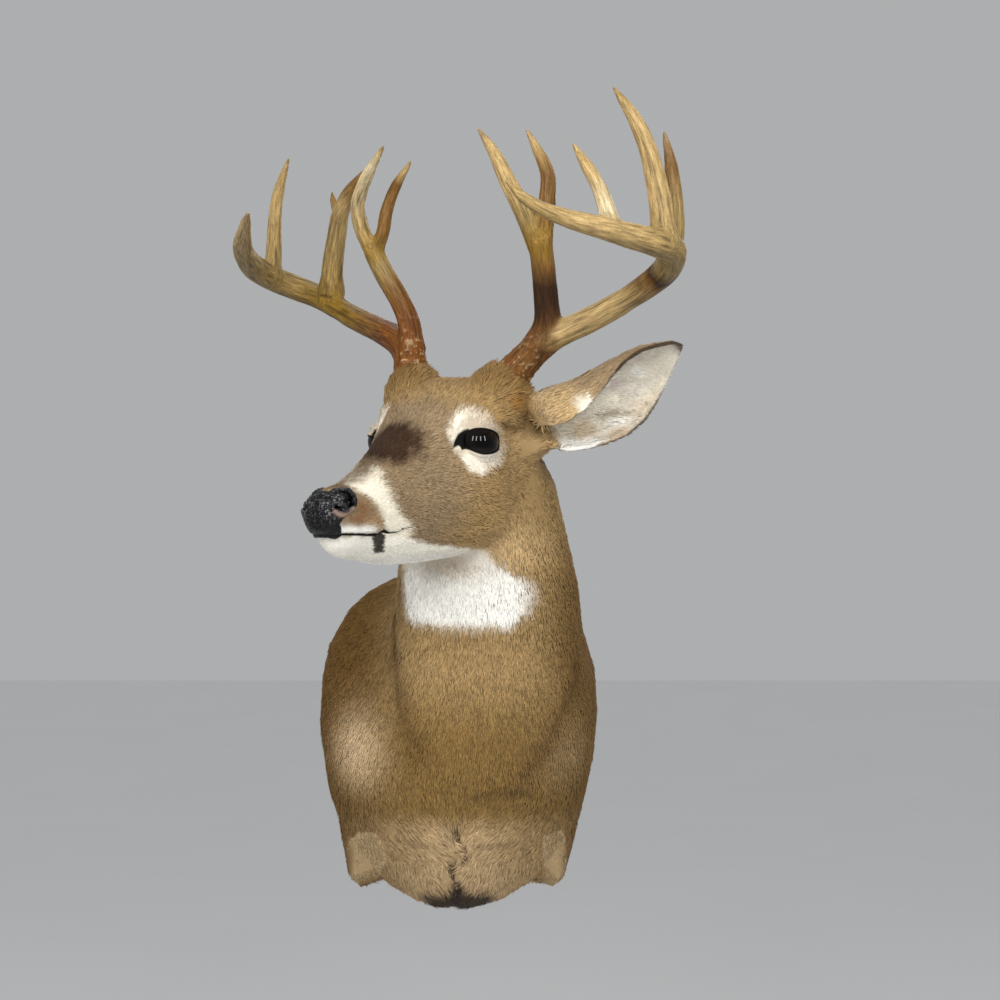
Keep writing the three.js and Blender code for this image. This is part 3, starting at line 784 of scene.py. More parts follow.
throat = {
    "sideEdge": 88,  # how far behind the eyes it ends
    # half its width, by height
    "half": [(-200, 32), (-192, 42), (-184, 53), (-174, 61), (-162, 65), (-149, 66), (-138, 64), (-130, 57),
             (-123, 47), (-116, 38), (-112, 28)],
    "bottom": -186,
}


def markingsAndPaintedLight(points, normals):
    # the colour of skin and coat at each place, as light: their marks, with painted light and shade in
    # places
    h = toHead(points)
    n = normals @ headTurn
    p = points / mm
    side = np.abs(h[:, 0])
    ahead, z = -h[:, 1], h[:, 2]
    face = np.column_stack([side, ahead, z])
    ragged = clouds(p, 7, 3) * 1.6 + clouds(p, 3, 4) * 1.2  # breaks up every border, in millimetres
    inside = inHead(h)
    colour = np.tile(tints["neck"], (len(p), 1))

    def paint(name, share):
        colour[:] = mixed(colour, tints[name], np.clip(share, 0, 1))

    # body, top to bottom
    paint("chest", ramp(-p[:, 2] + ragged * 3, -85, -5))
    # the sides, the back and the buck's right are darker: partly the coat's own darker flanks, partly
    # painted shade where the body turns from the light
    outside = np.abs(p[:, 0] - along(p[:, 2], *bodyMarksAndShading["middle"]))
    width = along(p[:, 2], *bodyMarksAndShading["halfWidth"])
    paint("flank", ramp(outside / width + ragged * 0.01, 0.5, 1.05) * (1 - inside) * 0.8)
    paint("flank", ramp(p[:, 1] + ragged, -190, -60) * (1 - inside) * 0.8)
    paint("flank", ramp(-p[:, 0] + ragged, 60, 100) * (1 - inside) * 0.5)
    # a painted highlight down the shoulders, strongest on the buck's right
    shoulder = np.column_stack([np.abs(p[:, 0] - 4), p[:, 1], p[:, 2]])
    paint("shoulder", spot(shoulder, *bodyMarksAndShading["shoulder"]) * (1 - 0.75 * (p[:, 0] > 0)) * 0.9)
    # painted shade along the hollows between the neck and the shoulders
    for strength, line in bodyMarksAndShading["shadedValleys"]:
        gap, share = fromLine(p, line)
        paint("valleyShade", bell(gap + ragged, 10 + 8 * share) * ramp(1 - share, 0, 0.4) * strength)
    # painted shade along the crease between the neck and the shoulder
    gap, share = fromLine(p, folds["neck"]["line"])
    paint("dark", bell(gap + ragged * 0.5, 5) * ramp(1 - share, 0.2, 0.7) * 0.5)
    low = ramp(-p[:, 2] + ragged * 2, 62, 96) * ramp(-p[:, 1], 120, 230)
    paint("low", low * bell(p[:, 0] - 4, 95) * 0.95)
    bottom = ramp(-p[:, 2] + ragged + 14 * bell(p[:, 0] - 4, 12), 154, 170) * ramp(-p[:, 1], 60, 150)
    paint("dark", bottom * ramp(50 - np.abs(p[:, 0] - 2), 0, 18) * 0.95)
    # painted shade in the creases
    for name, strength in bodyMarksAndShading["creases"].items():
        paint("dark", np.sqrt(foldAt(p, name)) * strength)
    # painted shade in the crease that arcs round one side of the whorl
    offset, radius = fromWhorl(p)
    ring = bell(radius - whorl["ring"], 1.8) * (p[:, 1] < -120)
    paint("dark", ring * ramp(offset @ np.array([0.8, 0.6]), -6, 4) * 0.75)
    leg = inLegPatch(p) + ragged * 0.3
    paint("legs", ramp(leg, -0.8, 0.8) * 0.85)
    # a painted highlight along the top edge of the leg patches
    paint("shoulder", bell(leg - 1, 1.8) * ramp(p[:, 2], -150, -115) * 0.6)
    # head
    paint("cheek", inside)
    paint("face", inside * ramp(ahead + z * 0.2 + ragged, -20, 45))
    paint("behindJaw", np.maximum(*[spot(face, *place) for place in headMarksAndShade["behindJaw"]]) * 0.75)
    paint("brow", inside * ramp(z - ahead * 0.4 + ragged, 20, 38) * ramp(-ahead, -45, 5))
    paint("pedicle", inside * ramp(ragged - gapTo(face, headMarksAndShade["pedicle"]), -48, -22) * 0.8)
    paint("pedicle", inside * ramp(z + ragged * 2, 44, 62) * 0.6)
    paint("rust", inside * spot(face, *headMarksAndShade["rust"]) * 0.7)
    bridge = ramp(11 - side + ragged * 0.5, -6, 5) * ramp(ahead, 78, 90) * ramp(-ahead, -168, -158)
    paint("chocolate", inside * bridge * ramp(n[:, 2], 0.2, 0.6) * 0.55)
    chocolate = spot(face, *headMarksAndShade["chocolate"]) + ragged * 0.08
    paint("chocolate", inside * ramp(chocolate, 0.1, 0.65) * 0.95)
    # muzzle
    front, rear = along(z, *headMarksAndShade["bandFront"]), along(z, *headMarksAndShade["bandRear"])
    top = along(ahead, *headMarksAndShade["bandTop"])
    band = np.minimum(np.minimum(front - ahead, (ahead - rear) * 0.8), (top - z) * 0.9)
    paint("cream", inside * ramp(band + ragged * 1.6, -7, 7))
    lip = ramp(z + ragged * 0.5, -86, -80) * ramp(-z + ragged * 0.5, 63, 73)
    paint("tan", inside * lip * ramp(ahead, 117, 131) * ramp(-ahead, -152, -142) * 0.7)
    paint("white", inside * bell(z - mouthLine(ahead) - 4.5, 5) * ramp(ahead, 122, 138))
    for place, reach in headMarksAndShade["blotches"]:
        paint("blotch", inside * bell(gapTo(face, place) + ragged * 0.8, reach) * 0.75)
    # chin, jaw and throat
    jaw = ramp(along(ahead, *headMarksAndShade["jawTop"]) - z + ragged, -2.5, 3)
    paint("jaw", inside * jaw * ramp(ahead + ragged, -50, -40))
    paint("white", inside * jaw * ramp(ahead, 118, 126) * 0.5)
    across = along(z, *throat["half"]) - side
    patch = np.minimum(np.minimum(across, z - throat["bottom"]), ahead + throat["sideEdge"])
    paint("white", ramp(patch + ragged * 1.4, -7, 9) * ramp(-z, 104, 114))
    # a painted shadow on the throat under the jaw
    paint("beige", spot(face, *headMarksAndShade["jawShadow"]) * 0.85)
    lipSpot = along(z, *headMarksAndShade["lipSpot"]) - np.abs(ahead - 122.5 - 0.6 * (z + 87))
    lipSpot = ramp(np.minimum(lipSpot, z + 103) + ragged * 0.4, -1.8, 1.8)
    paint("dark", inside * lipSpot * ramp(mouthLine(ahead) - z, -1, 1) * ramp(side, 8, 12) * 0.95)
    # round the eyes
    for name in ears:
        view = eyeView(h, name)
        lift, flat = view["lift"], view["flat"]
        edge = lidEdge(view, name)
        near = nearEye(view, 50, 2.6)
        pale = near * ramp(-outsideOf(flat, eye["pale"]) + ragged * 1.3, -5.5, 5)
        pale = pale * (1 - 0.55 * ramp(-flat[:, 0], 12, 25))
        paint("aboveEye", pale * ramp(lift + 0.1, -0.2, 0.2))
        paint("belowEye", pale * ramp(-lift - 0.1, -0.2, 0.2))
        paint("cream", pale * ramp(flat[:, 0], 10, 24))
        paint("beige", near * spot(flat, *headMarksAndShade["tearSpot"]) * 0.8)
        # painted shade in the fold above the upper lid
        paint("beige", near * bell(edge - 5.2, 1.3) * ramp(lift, 0.2, 0.5) * 0.6)
        paint("lidEdge", near * ramp(1.7 - edge, -0.5, 0.5))
        paint("black", near * ramp(inCorner(view), -0.4, 2))
    lips = ramp(along(ahead, *mouth["halfWidth"]) - np.abs(z - mouthLine(ahead)), -0.4, 0.4)
    paint("black", lips * ramp(ahead, mouth["corner"] - 1, mouth["corner"] + 4) * inside)
    # ears
    for name in ears:
        view = earView(h, name)
        t, angle = view["t"], view["angle"]
        share = view["inside"] * ramp(t, 0.03, 0.1)
        outer = outerFace(view, n)
        inner = share * (1 - outer)
        paint("earBack", share * outer)
        paint("earRoot", share * outer * bell(t - 0.2, 0.12) * bell(angle + 110, 50) * 0.8)
        paint("earInside", inner)
        # among them painted highlights on the relief's ridges and painted shade in its hollows
        for tint, at, turned, long, wide, strength in earMarksAndShading:
            mark = bell(t - at + ragged * 0.004, long) * bell(angle - turned + ragged * 1.2, wide)
            paint(tint, inner * ramp(mark, 0.15, 0.75) * strength)
        paint("earTan", inner * ramp(angle, 40, 70) * bell(t - 0.62, 0.1) * 0.35)
        lower = angle > 0
        rim = share * ramp(1.6 + 1.4 * ramp(t, 0.6, 0.85) - view["rim"] + ragged * 0.3, -1, 1)
        paint("earRim", rim * (~lower) * ramp(t, 0.4, 0.55) * 0.95)
        paint("earRim", rim * lower * ramp(t, 0.42, 0.48) * ramp(-t, -0.8, -0.7) * 0.75)
        paint("earRim", share * ramp(t + ragged * 0.004, 0.93, 0.985) * 0.9)
        tuft = bell(t - 0.33, 0.06) * ramp(-angle + ragged * 3, 88, 122) * ramp(angle + 180, 26, 40)
        paint("cream", share * ramp(tuft + ragged * 0.06, 0.1, 0.9))
        paint("white", share * lower * ramp(0.26 - t + ragged * 0.004, -0.02, 0.03) * ramp(angle, 85, 105))
    shade = 1 + 0.05 * clouds(p, 26, 7) + 0.05 * clouds(p, 8, 8)
    # painted light and shade of soft folds across the front of the neck, which the skin's shape does not
    # carry
    rippleShade = np.sin(p[:, 2] * 0.68 + 0.03 * p[:, 0] + 1.5 * clouds(p, 24, 9))
    shade = shade - 0.07 * rippleShade * spot(p, *bodyMarksAndShading["rippleShading"])
    return np.clip(colour * shade[:, None], 0, 1)


def material(name, build, values):
    # the values are the ones that are the same all over the surface
    made = bpy.data.materials.new(name)
    made.use_nodes = True
    tree = made.node_tree
    tree.nodes.clear()
    output = tree.nodes.new("ShaderNodeOutputMaterial")
    shader = tree.nodes.new("ShaderNodeBsdfPrincipled")
    tree.links.new(shader.outputs[0], output.inputs[0])
    for key, value in values.items():
        shader.inputs[key].default_value = value
    build(tree, shader.inputs)
    return made


def node(tree, kind, settings=(), **inputs):
    made = tree.nodes.new(kind)
    for key, value in dict(settings).items():
        setattr(made, key, value)
    for key, value in inputs.items():
        if isinstance(value, bpy.types.NodeSocket):
            tree.links.new(value, made.inputs[key])
        else:
            made.inputs[key].default_value = value
    return made


def noiseOf(tree, scale, detail=3, rough=0.55, source=None):
    place = source or node(tree, "ShaderNodeTexCoord").outputs["Object"]
    noise = node(tree, "ShaderNodeTexNoise", Vector=place, Scale=scale, Detail=detail, Roughness=rough)
    return noise.outputs["Fac"]


def scaled(tree, value, low, high, start=0.0, end=1.0):
    made = node(tree, "ShaderNodeMapRange", {"clamp": True}, Value=value)
    made.inputs["From Min"].default_value = start
    made.inputs["From Max"].default_value = end
    made.inputs["To Min"].default_value = low
    made.inputs["To Max"].default_value = high
    return made.outputs[0]


def times(tree, colour, level):
    mixed = node(tree, "ShaderNodeVectorMath", {"operation": "SCALE"})
    tree.links.new(colour, mixed.inputs[0])
    tree.links.new(level, mixed.inputs["Scale"])
    return mixed.outputs[0]


def tintOf(tree):
    # the painted colour
    return node(tree, "ShaderNodeAttribute", {"attribute_name": "tint"}).outputs["Color"]


def bumpOf(tree, height, strength, distance, **more):
    bump = node(tree, "ShaderNodeBump", Strength=strength, Distance=distance, Height=height, **more)
    return bump.outputs[0]


def furFinish(tree, inputs):
    level = scaled(tree, noiseOf(tree, 420, 2), 0.85, 1.15)
    tree.links.new(times(tree, tintOf(tree), level), inputs["Base Color"])
    tree.links.new(scaled(tree, noiseOf(tree, 160, 2), 0.55, 0.75), inputs["Roughness"])


def skinFinish(tree, inputs):
    fine = noiseOf(tree, 900)
    tree.links.new(times(tree, tintOf(tree), scaled(tree, fine, 0.78, 1.0)), inputs["Base Color"])
    tree.links.new(scaled(tree, fine, 0.6, 0.85), inputs["Roughness"])
    tree.links.new(bumpOf(tree, fine, 0.5, 0.0008), inputs["Normal"])


def leatherFinish(tree, inputs):
    place = node(tree, "ShaderNodeTexCoord").outputs["Object"]
    cells = node(tree, "ShaderNodeTexVoronoi", Vector=place, Scale=620)
    fine = noiseOf(tree, 1600, 2)
    tree.links.new(times(tree, tintOf(tree), scaled(tree, fine, 0.7, 1.3)), inputs["Base Color"])
    tree.links.new(scaled(tree, fine, 0.18, 0.34), inputs["Roughness"])
    pebbles = node(tree, "ShaderNodeBump", {"invert": True}, Strength=0.8, Distance=0.0005,
                   Height=cells.outputs["Distance"])
    tree.links.new(pebbles.outputs[0], inputs["Normal"])


def boneFinish(tree, inputs):
    # fine streaks run lengthwise in the antler's own grain; speckles lie in the part's frame
    grain = node(tree, "ShaderNodeAttribute", {"attribute_name": "grain"}).outputs["Vector"]
    streaks = noiseOf(tree, 0.75, 3, 0.6, source=grain)
    speckles = noiseOf(tree, 520)
    streaked = times(tree, tintOf(tree), scaled(tree, streaks, 0.5, 1.35, 0.3, 0.7))
    speckled = times(tree, streaked, scaled(tree, speckles, 0.86, 1.12, 0.25, 0.75))
    tree.links.new(speckled, inputs["Base Color"])
    tree.links.new(scaled(tree, streaks, 0.55, 0.36, 0.3, 0.7), inputs["Roughness"])
    ridges = bumpOf(tree, streaks, 0.7, 0.0006)
    tree.links.new(bumpOf(tree, speckles, 0.3, 0.0003, Normal=ridges), inputs["Normal"])


def glassFinish(tree, inputs):
    tree.links.new(tintOf(tree), inputs["Base Color"])


def plywoodFinish(tree, inputs):
    place = node(tree, "ShaderNodeTexCoord").outputs["Object"]
    mapped = node(tree, "ShaderNodeMapping", Vector=place, Scale=(1, 1, 0.12))
    grain = node(tree, "ShaderNodeTexNoise", Vector=mapped.outputs[0], Scale=90, Detail=5, Distortion=1.2)
    wave = node(tree, "ShaderNodeTexWave", {"bands_direction": "Y"}, Vector=place, Scale=100,
                Distortion=0.4)
    colours = node(tree, "ShaderNodeValToRGB", Fac=grain.outputs["Fac"])
    stops = ((0.35, (150, 116, 76)), (0.65, (205, 172, 126)))
    for element, (at, colour) in zip(colours.color_ramp.elements, stops):
        element.color = (*linear(colour), 1)
        element.position = at
    layers = scaled(tree, wave.outputs["Fac"], 0.85, 1.0)
    tree.links.new(times(tree, colours.outputs[0], layers), inputs["Base Color"])
    tree.links.new(bumpOf(tree, grain.outputs["Fac"], 0.2, 0.0005), inputs["Normal"])


finishes = {
    "fur": material("deer fur", furFinish,
                    {"Specular IOR Level": 0.12, "Sheen Weight": 0.02, "Sheen Roughness": 0.5}),
    "skin": material("deer skin", skinFinish, {"Specular IOR Level": 0.12}),
    "leather": material("nose leather", leatherFinish, {"Specular IOR Level": 0.2}),
    "bone": material("antler bone", boneFinish, {"Specular IOR Level": 0.18}),
    "glass": material("eye glass", glassFinish, {"Specular IOR Level": 0.19, "Roughness": 0.015}),
    "plywood": material("plywood", plywoodFinish, {"Roughness": 0.7}),
}


nose = {
    "start": 136,  # what lies behind this is cut away
    "heart": (0, -148, -62),
    "tuck": 5,  # how far the leather's edge sinks into the skin
    # where the leather begins, by height: at the side and in the middle
    "rear": [(-90, 170), (-85, 167.6), (-78, 170.5), (-72, 174), (-67, 172), (-63, 167.5), (-59, 159),
             (-55, 153.5), (-50, 149.5), (-44, 146.5), (-40, 149), (-37, 158), (-34, 164)],
    "middle": [(-90, 174), (-60, 170), (-41.8, 169.5), (-38, 168)],
    "pebble": 0.32,
    "pebbleSize": 2.1,
    "nostril": [(14.5, -163, -43.8), (18, -156, -44.5), (20.5, -153.5, -50), (23.5, -159, -56),
                (23, -168, -58.5), (19.5, -174, -56.5)],
    "width": [(0, 1.2), (0.25, 1.7), (0.6, 2.4), (1, 1.5)],
    "depth": 5.5,
    # how far each part stands out: the nostril's lip, the flap, the roll above it and the rim below
    "lip": 1.3,
    "flapHeight": 1.4,
    "rollHeight": 0.9,
    "rimHeight": 0.9,
    # how deep the grooves are: between the nostrils, before them and above the mouth
    "groove": 0.9,
    "hollow": 0.8,
    "crease": 1.3,
    "flap": (17.5, -163, -50),
    "paleRim": [(27.5, -160, -59), (26.5, -168, -63.6), (22.9, -173.8, -63.4), (19, -176, -60.6)],
    "darkRim": [(18.9, -146.3, -44.3), (22, -148.5, -48), (24.6, -152, -52.4)],
    "roll": [(8, -162.6, -40), (11.5, -155.5, -40), (14.5, -148.3, -40.5)],
    "black": (6, 6, 8),
    "rim": (132, 110, 98),
    # where the painted glints lie, and how light they are
    "glints": ((14, -172, -55), (13, 20, 12)),
    "glintLight": 0.17,
}


def sculptNose(co, normals):
    h = toHead(co)
    n = normals @ headTurn
    p = h * np.column_stack([np.where(h[:, 0] >= 0, 1, -1), np.ones((len(h), 2))])
    x, ahead, z = p[:, 0], -p[:, 1], p[:, 2]
    edge = leatherEdge(h)
    gap, share = fromLine(p, curveThrough(nose["nostril"], 30))
    width = along(share, *nose["width"])
    rim = fromLine(p, nose["paleRim"])[0]
    pit = ramp(width - gap, -0.7, 1.3)
    flap = bell(gapTo(p, nose["flap"]), 4.6) * (1 - pit)
    roll = bell(fromLine(p, nose["roll"])[0], 3.2)
    sink = nose["depth"] * pit + nose["tuck"] * ramp(-edge, -0.8, 5)
    move = nose["lip"] * bell(gap - width - 2.0, 1.5) * (1 - flap)
    move += nose["flapHeight"] * flap + nose["rollHeight"] * roll + nose["rimHeight"] * bell(rim, 2.6)
    tip = ramp(ahead, 166, 176)
    move -= nose["groove"] * bell(x, 1.5) * tip * ramp(-z, 54, 62)
    move -= nose["hollow"] * bell(z + 57, 6) * tip * ramp(-x, -14, -8)
    move -= nose["crease"] * bell(z + 83.5, 1.2)
    cell = clouds(p, nose["pebbleSize"], 21)
    smoothly = (1 - pit) * (1 - roll) * (1 - 0.8 * flap) * ramp(edge, 0, 3)
    move += nose["pebble"] * (0.5 - np.abs(cell)) * 2 * smoothly
    co = fromHead(h + n * move[:, None] + towardsHeart(h) * sink[:, None])
    # black, with painted glints on the pebbles at the front, a flesh-grey lower rim, and painted shade
    # inside the nostril and along its rear edge
    glints = ramp(clouds(p, 1.3, 23), 0.2, 0.6) * spot(p, *nose["glints"]) * nose["glintLight"]
    glints = (glints + ramp(0.5 - np.abs(cell), 0.1, 0.5) * 0.006) * smoothly
    colour = linear(nose["black"]) + glints[:, None]
    pale = bell(rim, 1.9) * (1 - pit) * (h[:, 0] > -4)
    colour = mixed(colour, linear(nose["rim"]), np.clip(pale * 1.2, 0, 1))
    # painted shade inside the nostril pit and along the nostril's rear edge
    dark = bell(fromLine(p, nose["darkRim"])[0], 2.6)
    return co, colour * (1 - 0.85 * np.maximum(pit, dark * 0.6))[:, None]


def makeNose(base):
    piece = copyOf(base, "nose_leather")
    editPoints(piece, -toHead(places(piece.data))[:, 1] < nose["start"])
    bpy.ops.mesh.delete(type="VERT")
    bpy.ops.mesh.select_all(action="SELECT")
    bpy.ops.mesh.region_to_loop()
    bpy.ops.mesh.edge_face_add()
    bpy.ops.object.mode_set(mode="OBJECT")
    for limit in (-6, 1.5):
        refine(piece, leatherEdge(toHead(places(piece.data))) > limit)
    co, colour = sculptNose(places(piece.data), outward(piece.data))
    setPlaces(piece.data, co)
    addModifier(piece, "TRIANGULATE")
    setTint(piece.data, colour)
    bpy.ops.object.shade_smooth()
    print("stage: nose,", len(piece.data.polygons), "triangles")
    return piece


def makeEye(side):
    ball = addBall(mirrored(eye["centre"], side), eye["radius"], 72, 40)
    ball.name = "eye_glass_" + side
    bpy.ops.object.shade_smooth()
    view = eyeView(toHead(places(ball.data)), side)
    turn, lift = view["turn"], view["lift"]
    wide, high = eye["pupil"]
    pupil = ramp(1 - np.hypot((turn - 0.05) / wide, lift / high), -0.2, 0.25)
    iris = ramp(0.95 - np.hypot(turn - 0.05, lift * 1.1), -0.1, 0.1)
    fibres = 1 + 0.25 * clouds(np.column_stack([np.arctan2(lift, turn) * 9, turn * 0, turn * 3]), 1, 5)
    colour = mixed(linear(eye["rimBrown"]), linear(eye["brown"]) * fibres[:, None], iris)
    setTint(ball.data, colour * (1 - 0.9 * pupil[:, None]))
    return ball


# The beam's radius by share of its length.
beamThickness = [(0, 15), (0.02, 20), (0.05, 19), (0.075, 17), (0.14, 15.5), (0.2, 13.5), (0.35, 12.5),
                 (0.5, 14), (0.62, 14), (0.72, 12), (0.84, 9.5), (0.95, 5.5), (1, 1.4)]
horn = {
    "chestnut": (110, 70, 30),
    "orange": (114, 67, 22),
    "umber": (58, 35, 18),
    "brown": (122, 87, 42),
    "olive": (136, 105, 38),
    "khaki": (152, 127, 78),
    "straw": (182, 153, 102),
    "cream": (214, 196, 156),
    "tip": (160, 132, 92),
    "fleck": (198, 170, 126),
}
# Each limb is a line of places (out from the midline, forward, up) in the head's frame. "root" and "end"
# are its radii, "flare" how much wider it meets the beam, and "tones" its colours by share of its length.
antlers = {
    "left": {
        "side": 1,
        "beam": [(52, -44, 50), (61, -48, 61), (78, -52, 80), (103, -58, 101), (141, -68, 118),
                 (177, -76, 136), (209, -76, 153), (238, -62, 167), (260, -34, 182), (262, 0, 187),
                 (253, 30, 192), (241, 58, 198), (226, 82, 204), (208, 103, 213), (193, 118, 225),
                 (181, 127, 240)],
        "tones": [(0, "chestnut"), (0.1, "chestnut"), (0.16, "brown"), (0.2, "straw"), (0.36, "straw"),
                  (0.43, "brown"), (0.47, "umber"), (0.52, "khaki"), (0.62, "khaki"), (0.72, "straw"),
                  (0.85, "straw"), (0.95, "khaki"), (1, "tip")],
        "tines": {
            "brow": {
                "points": [(94, -56, 95), (105, -54, 119), (108, -48, 145), (110, -40, 175),
                           (112, -32, 200)],
                "root": 13, "end": 12,
                "tones": [(0, "chestnut"), (0.4, "umber"), (0.6, "umber"), (0.8, "brown"), (1, "olive")],
            },
            "brow_front": {
                "points": [(108, -34, 190), (101, -20, 226), (91, -8, 255), (82, 4, 284), (71, 14, 306)],
                "root": 10, "flare": 1,
                "tones": [(0, "olive"), (0.25, "khaki"), (0.5, "straw"), (0.85, "straw"), (1, "tip")],
            },
            "brow_rear": {
                "points": [(114, -36, 188), (119, -34, 233), (119, -36, 262), (103, -38, 292),
                           (94, -36, 309)],
                "root": 9, "flare": 1,
                "tones": [(0, "olive"), (0.3, "brown"), (0.6, "brown"), (0.85, "straw"), (1, "tip")],
            },
            "second": {
                "points": [(247, -56, 176), (250, -58, 208), (248, -60, 236), (244, -60, 267),
                           (239, -56, 297)],
                "root": 9,
                "tones": [(0, "khaki"), (0.4, "khaki"), (0.75, "brown"), (1, "tip")],
            },
            "third": {
                "points": [(263, -14, 188), (261, -14, 213), (257, -12, 241), (252, -6, 271),
                           (244, 2, 298), (223, 10, 333)],
                "root": 10.5,
                "tones": [(0, "khaki"), (0.3, "straw"), (0.8, "straw"), (0.93, "khaki"), (1, "tip")],
            },
            "fourth": {
                "points": [(244, 48, 197), (238, 48, 218), (230, 50, 239), (205, 52, 278)],
                "root": 8,
                "tones": [(0, "khaki"), (0.2, "cream"), (0.6, "straw"), (0.9, "straw"), (1, "tip")],
            },
        },
    },
    "right": {
        "side": -1,
        "beam": [(55, -44, 54), (61, -48, 70), (67, -51, 88), (80, -54, 102), (106, -60, 113),
                 (162, -74, 132), (214, -82, 155), (240, -76, 165), (256, -56, 175), (253, -20, 186),
                 (224, 30, 201), (184, 72, 216), (148, 105, 231)],
        "tones": [(0, "orange"), (0.14, "orange"), (0.22, "brown"), (0.3, "olive"), (0.42, "olive"),
                  (0.55, "khaki"), (0.8, "khaki"), (0.93, "straw"), (1, "tip")],
        "tines": {
            "brow": {
                "points": [(62, -50, 92), (63, -46, 123), (73, -40, 150), (86, -34, 175), (95, -28, 198)],
                "root": 11.5, "end": 11,
                "tones": [(0, "orange"), (0.3, "orange"), (0.6, "brown"), (0.85, "khaki"), (1, "olive")],
            },
            "brow_front": {
                "points": [(93, -30, 190), (103, -20, 219), (100, -10, 243), (82, 2, 264), (41, 20, 298)],
                "root": 8.5, "flare": 1,
                "tones": [(0, "olive"), (0.25, "straw"), (0.8, "cream"), (0.95, "straw"), (1, "tip")],
            },
            "brow_rear": {
                "points": [(92, -28, 194), (83, -30, 217), (80, -32, 237), (70, -34, 261),
                           (48, -34, 288)],
                "root": 7.5, "flare": 1,
                "tones": [(0, "olive"), (0.3, "brown"), (0.75, "brown"), (0.9, "straw"), (1, "tip")],
            },
            "second": {
                "points": [(196, -80, 156), (191, -78, 192), (182, -74, 221), (171, -68, 245),
                           (153, -62, 263), (101, -44, 292)],
                "root": 11,
                "tones": [(0, "olive"), (0.2, "khaki"), (0.6, "straw"), (0.75, "brown"), (1, "tip")],
            },
            "second_spur": {
                "points": [(176, -70, 240), (184, -72, 256), (188, -74, 268)],
                "root": 4.5,
                "tones": [(0, "khaki"), (1, "brown")],
            },
            "third": {
                "points": [(254, -50, 176), (248, -46, 207), (243, -42, 233), (234, -38, 265),
                           (211, -30, 302)],
                "root": 8.5,
                "tones": [(0, "khaki"), (0.5, "straw"), (0.9, "straw"), (1, "tip")],
            },
        },
    },
}
bone = {
    "voxel": 1.45,
    "webbing": 26,  # rounds of smoothing in the forks
    "groove": 0.8,
    "pearl": 1.1,
    "pearlReach": 95,
    "burr": 4.0,
    "burrAt": (12, 6),  # its place along the beam, and its reach
    "perBand": 12,  # the streaks are this many times as long as wide
    "flare": 1.5,
    "tip": 1.4,
}


def limbLine(points, side, radius, count):
    p = fromHead(curveThrough([(out * side, -forward, up) for out, forward, up in points], count))
    return p, along(np.linspace(0, 1, count), *radius) * mm


def tineThickness(tine):
    root = tine["root"]
    flare = tine.get("flare", bone["flare"])
    if "end" in tine:
        return [(0, root * 1.4), (0.15, root * 1.1), (0.4, root), (1, tine["end"])]
    return [(0, root * flare), (0.12, root * (1 + (flare - 1) / 4)), (0.35, root), (0.7, root * 0.78),
            (0.9, root * 0.42), (1, bone["tip"])]


def tubeAlong(line, radius):
    bpy.ops.curve.primitive_nurbs_path_add()
    path = bpy.context.object
    path.data.splines.clear()
    spline = path.data.splines.new("POLY")
    spline.points.add(len(line) - 1)
    spline.points.foreach_set("co", np.column_stack([line, np.ones(len(line))]).ravel())
    spline.points.foreach_set("radius", radius / mm)
    path.data.bevel_depth = mm
    path.data.bevel_resolution = 5
    path.data.use_fill_caps = True
    path.data.twist_mode = "MINIMUM"
    path.location = (0, 0, 0)
    bpy.ops.object.convert(target="MESH")
    tube = bpy.context.object
    editAll(tube)
    bpy.ops.mesh.remove_doubles(threshold=1e-6)
    bpy.ops.mesh.normals_make_consistent(inside=False)
    bpy.ops.object.mode_set(mode="OBJECT")
    return tube


def framesAlong(line):
    # the way along a line and two ways across it that don't twist
    way = unit(np.gradient(line, axis=0))
    across = np.empty_like(way)
    start = np.cross(way[0], (0, 0, 1))
    across[0] = unit(start if np.linalg.norm(start) > 0.1 else np.cross(way[0], (1, 0, 0)))
    for i in range(1, len(line)):
        across[i] = unit(across[i - 1] - (across[i - 1] @ way[i]) * way[i])
    return way, across, np.cross(way, across)


def limbViews(co, limbs):
    # for each limb: how far each point is from its surface, and its place in the limb's own grain
    views = []
    for line, radius in limbs:
        way, across, over = framesAlong(line)
        length = np.concatenate([[0], np.cumsum(np.linalg.norm(np.diff(line, axis=0), axis=1))])
        tree = kdtree.KDTree(len(line))
        for i, place in enumerate(line):
            tree.insert(place, i)
        tree.balance()
        near = np.array([tree.find(place)[1] for place in co])
        off = co - line[near]
        down = (off * way[near]).sum(1)
        sideways = (off * across[near]).sum(1), (off * over[near]).sum(1)
        grain = np.column_stack([*sideways, length[near] + down]) / mm
        share = np.clip(grain[:, 2] * mm / length[-1], 0, 1)
        views.append({
            "out": (np.linalg.norm(off, axis=1) - radius[near]) / mm,
            "grain": grain,
            "share": share,
            "toEnd": (1 - share) * length[-1] / mm,
            "thick": radius[near] / mm,
        })
    return views


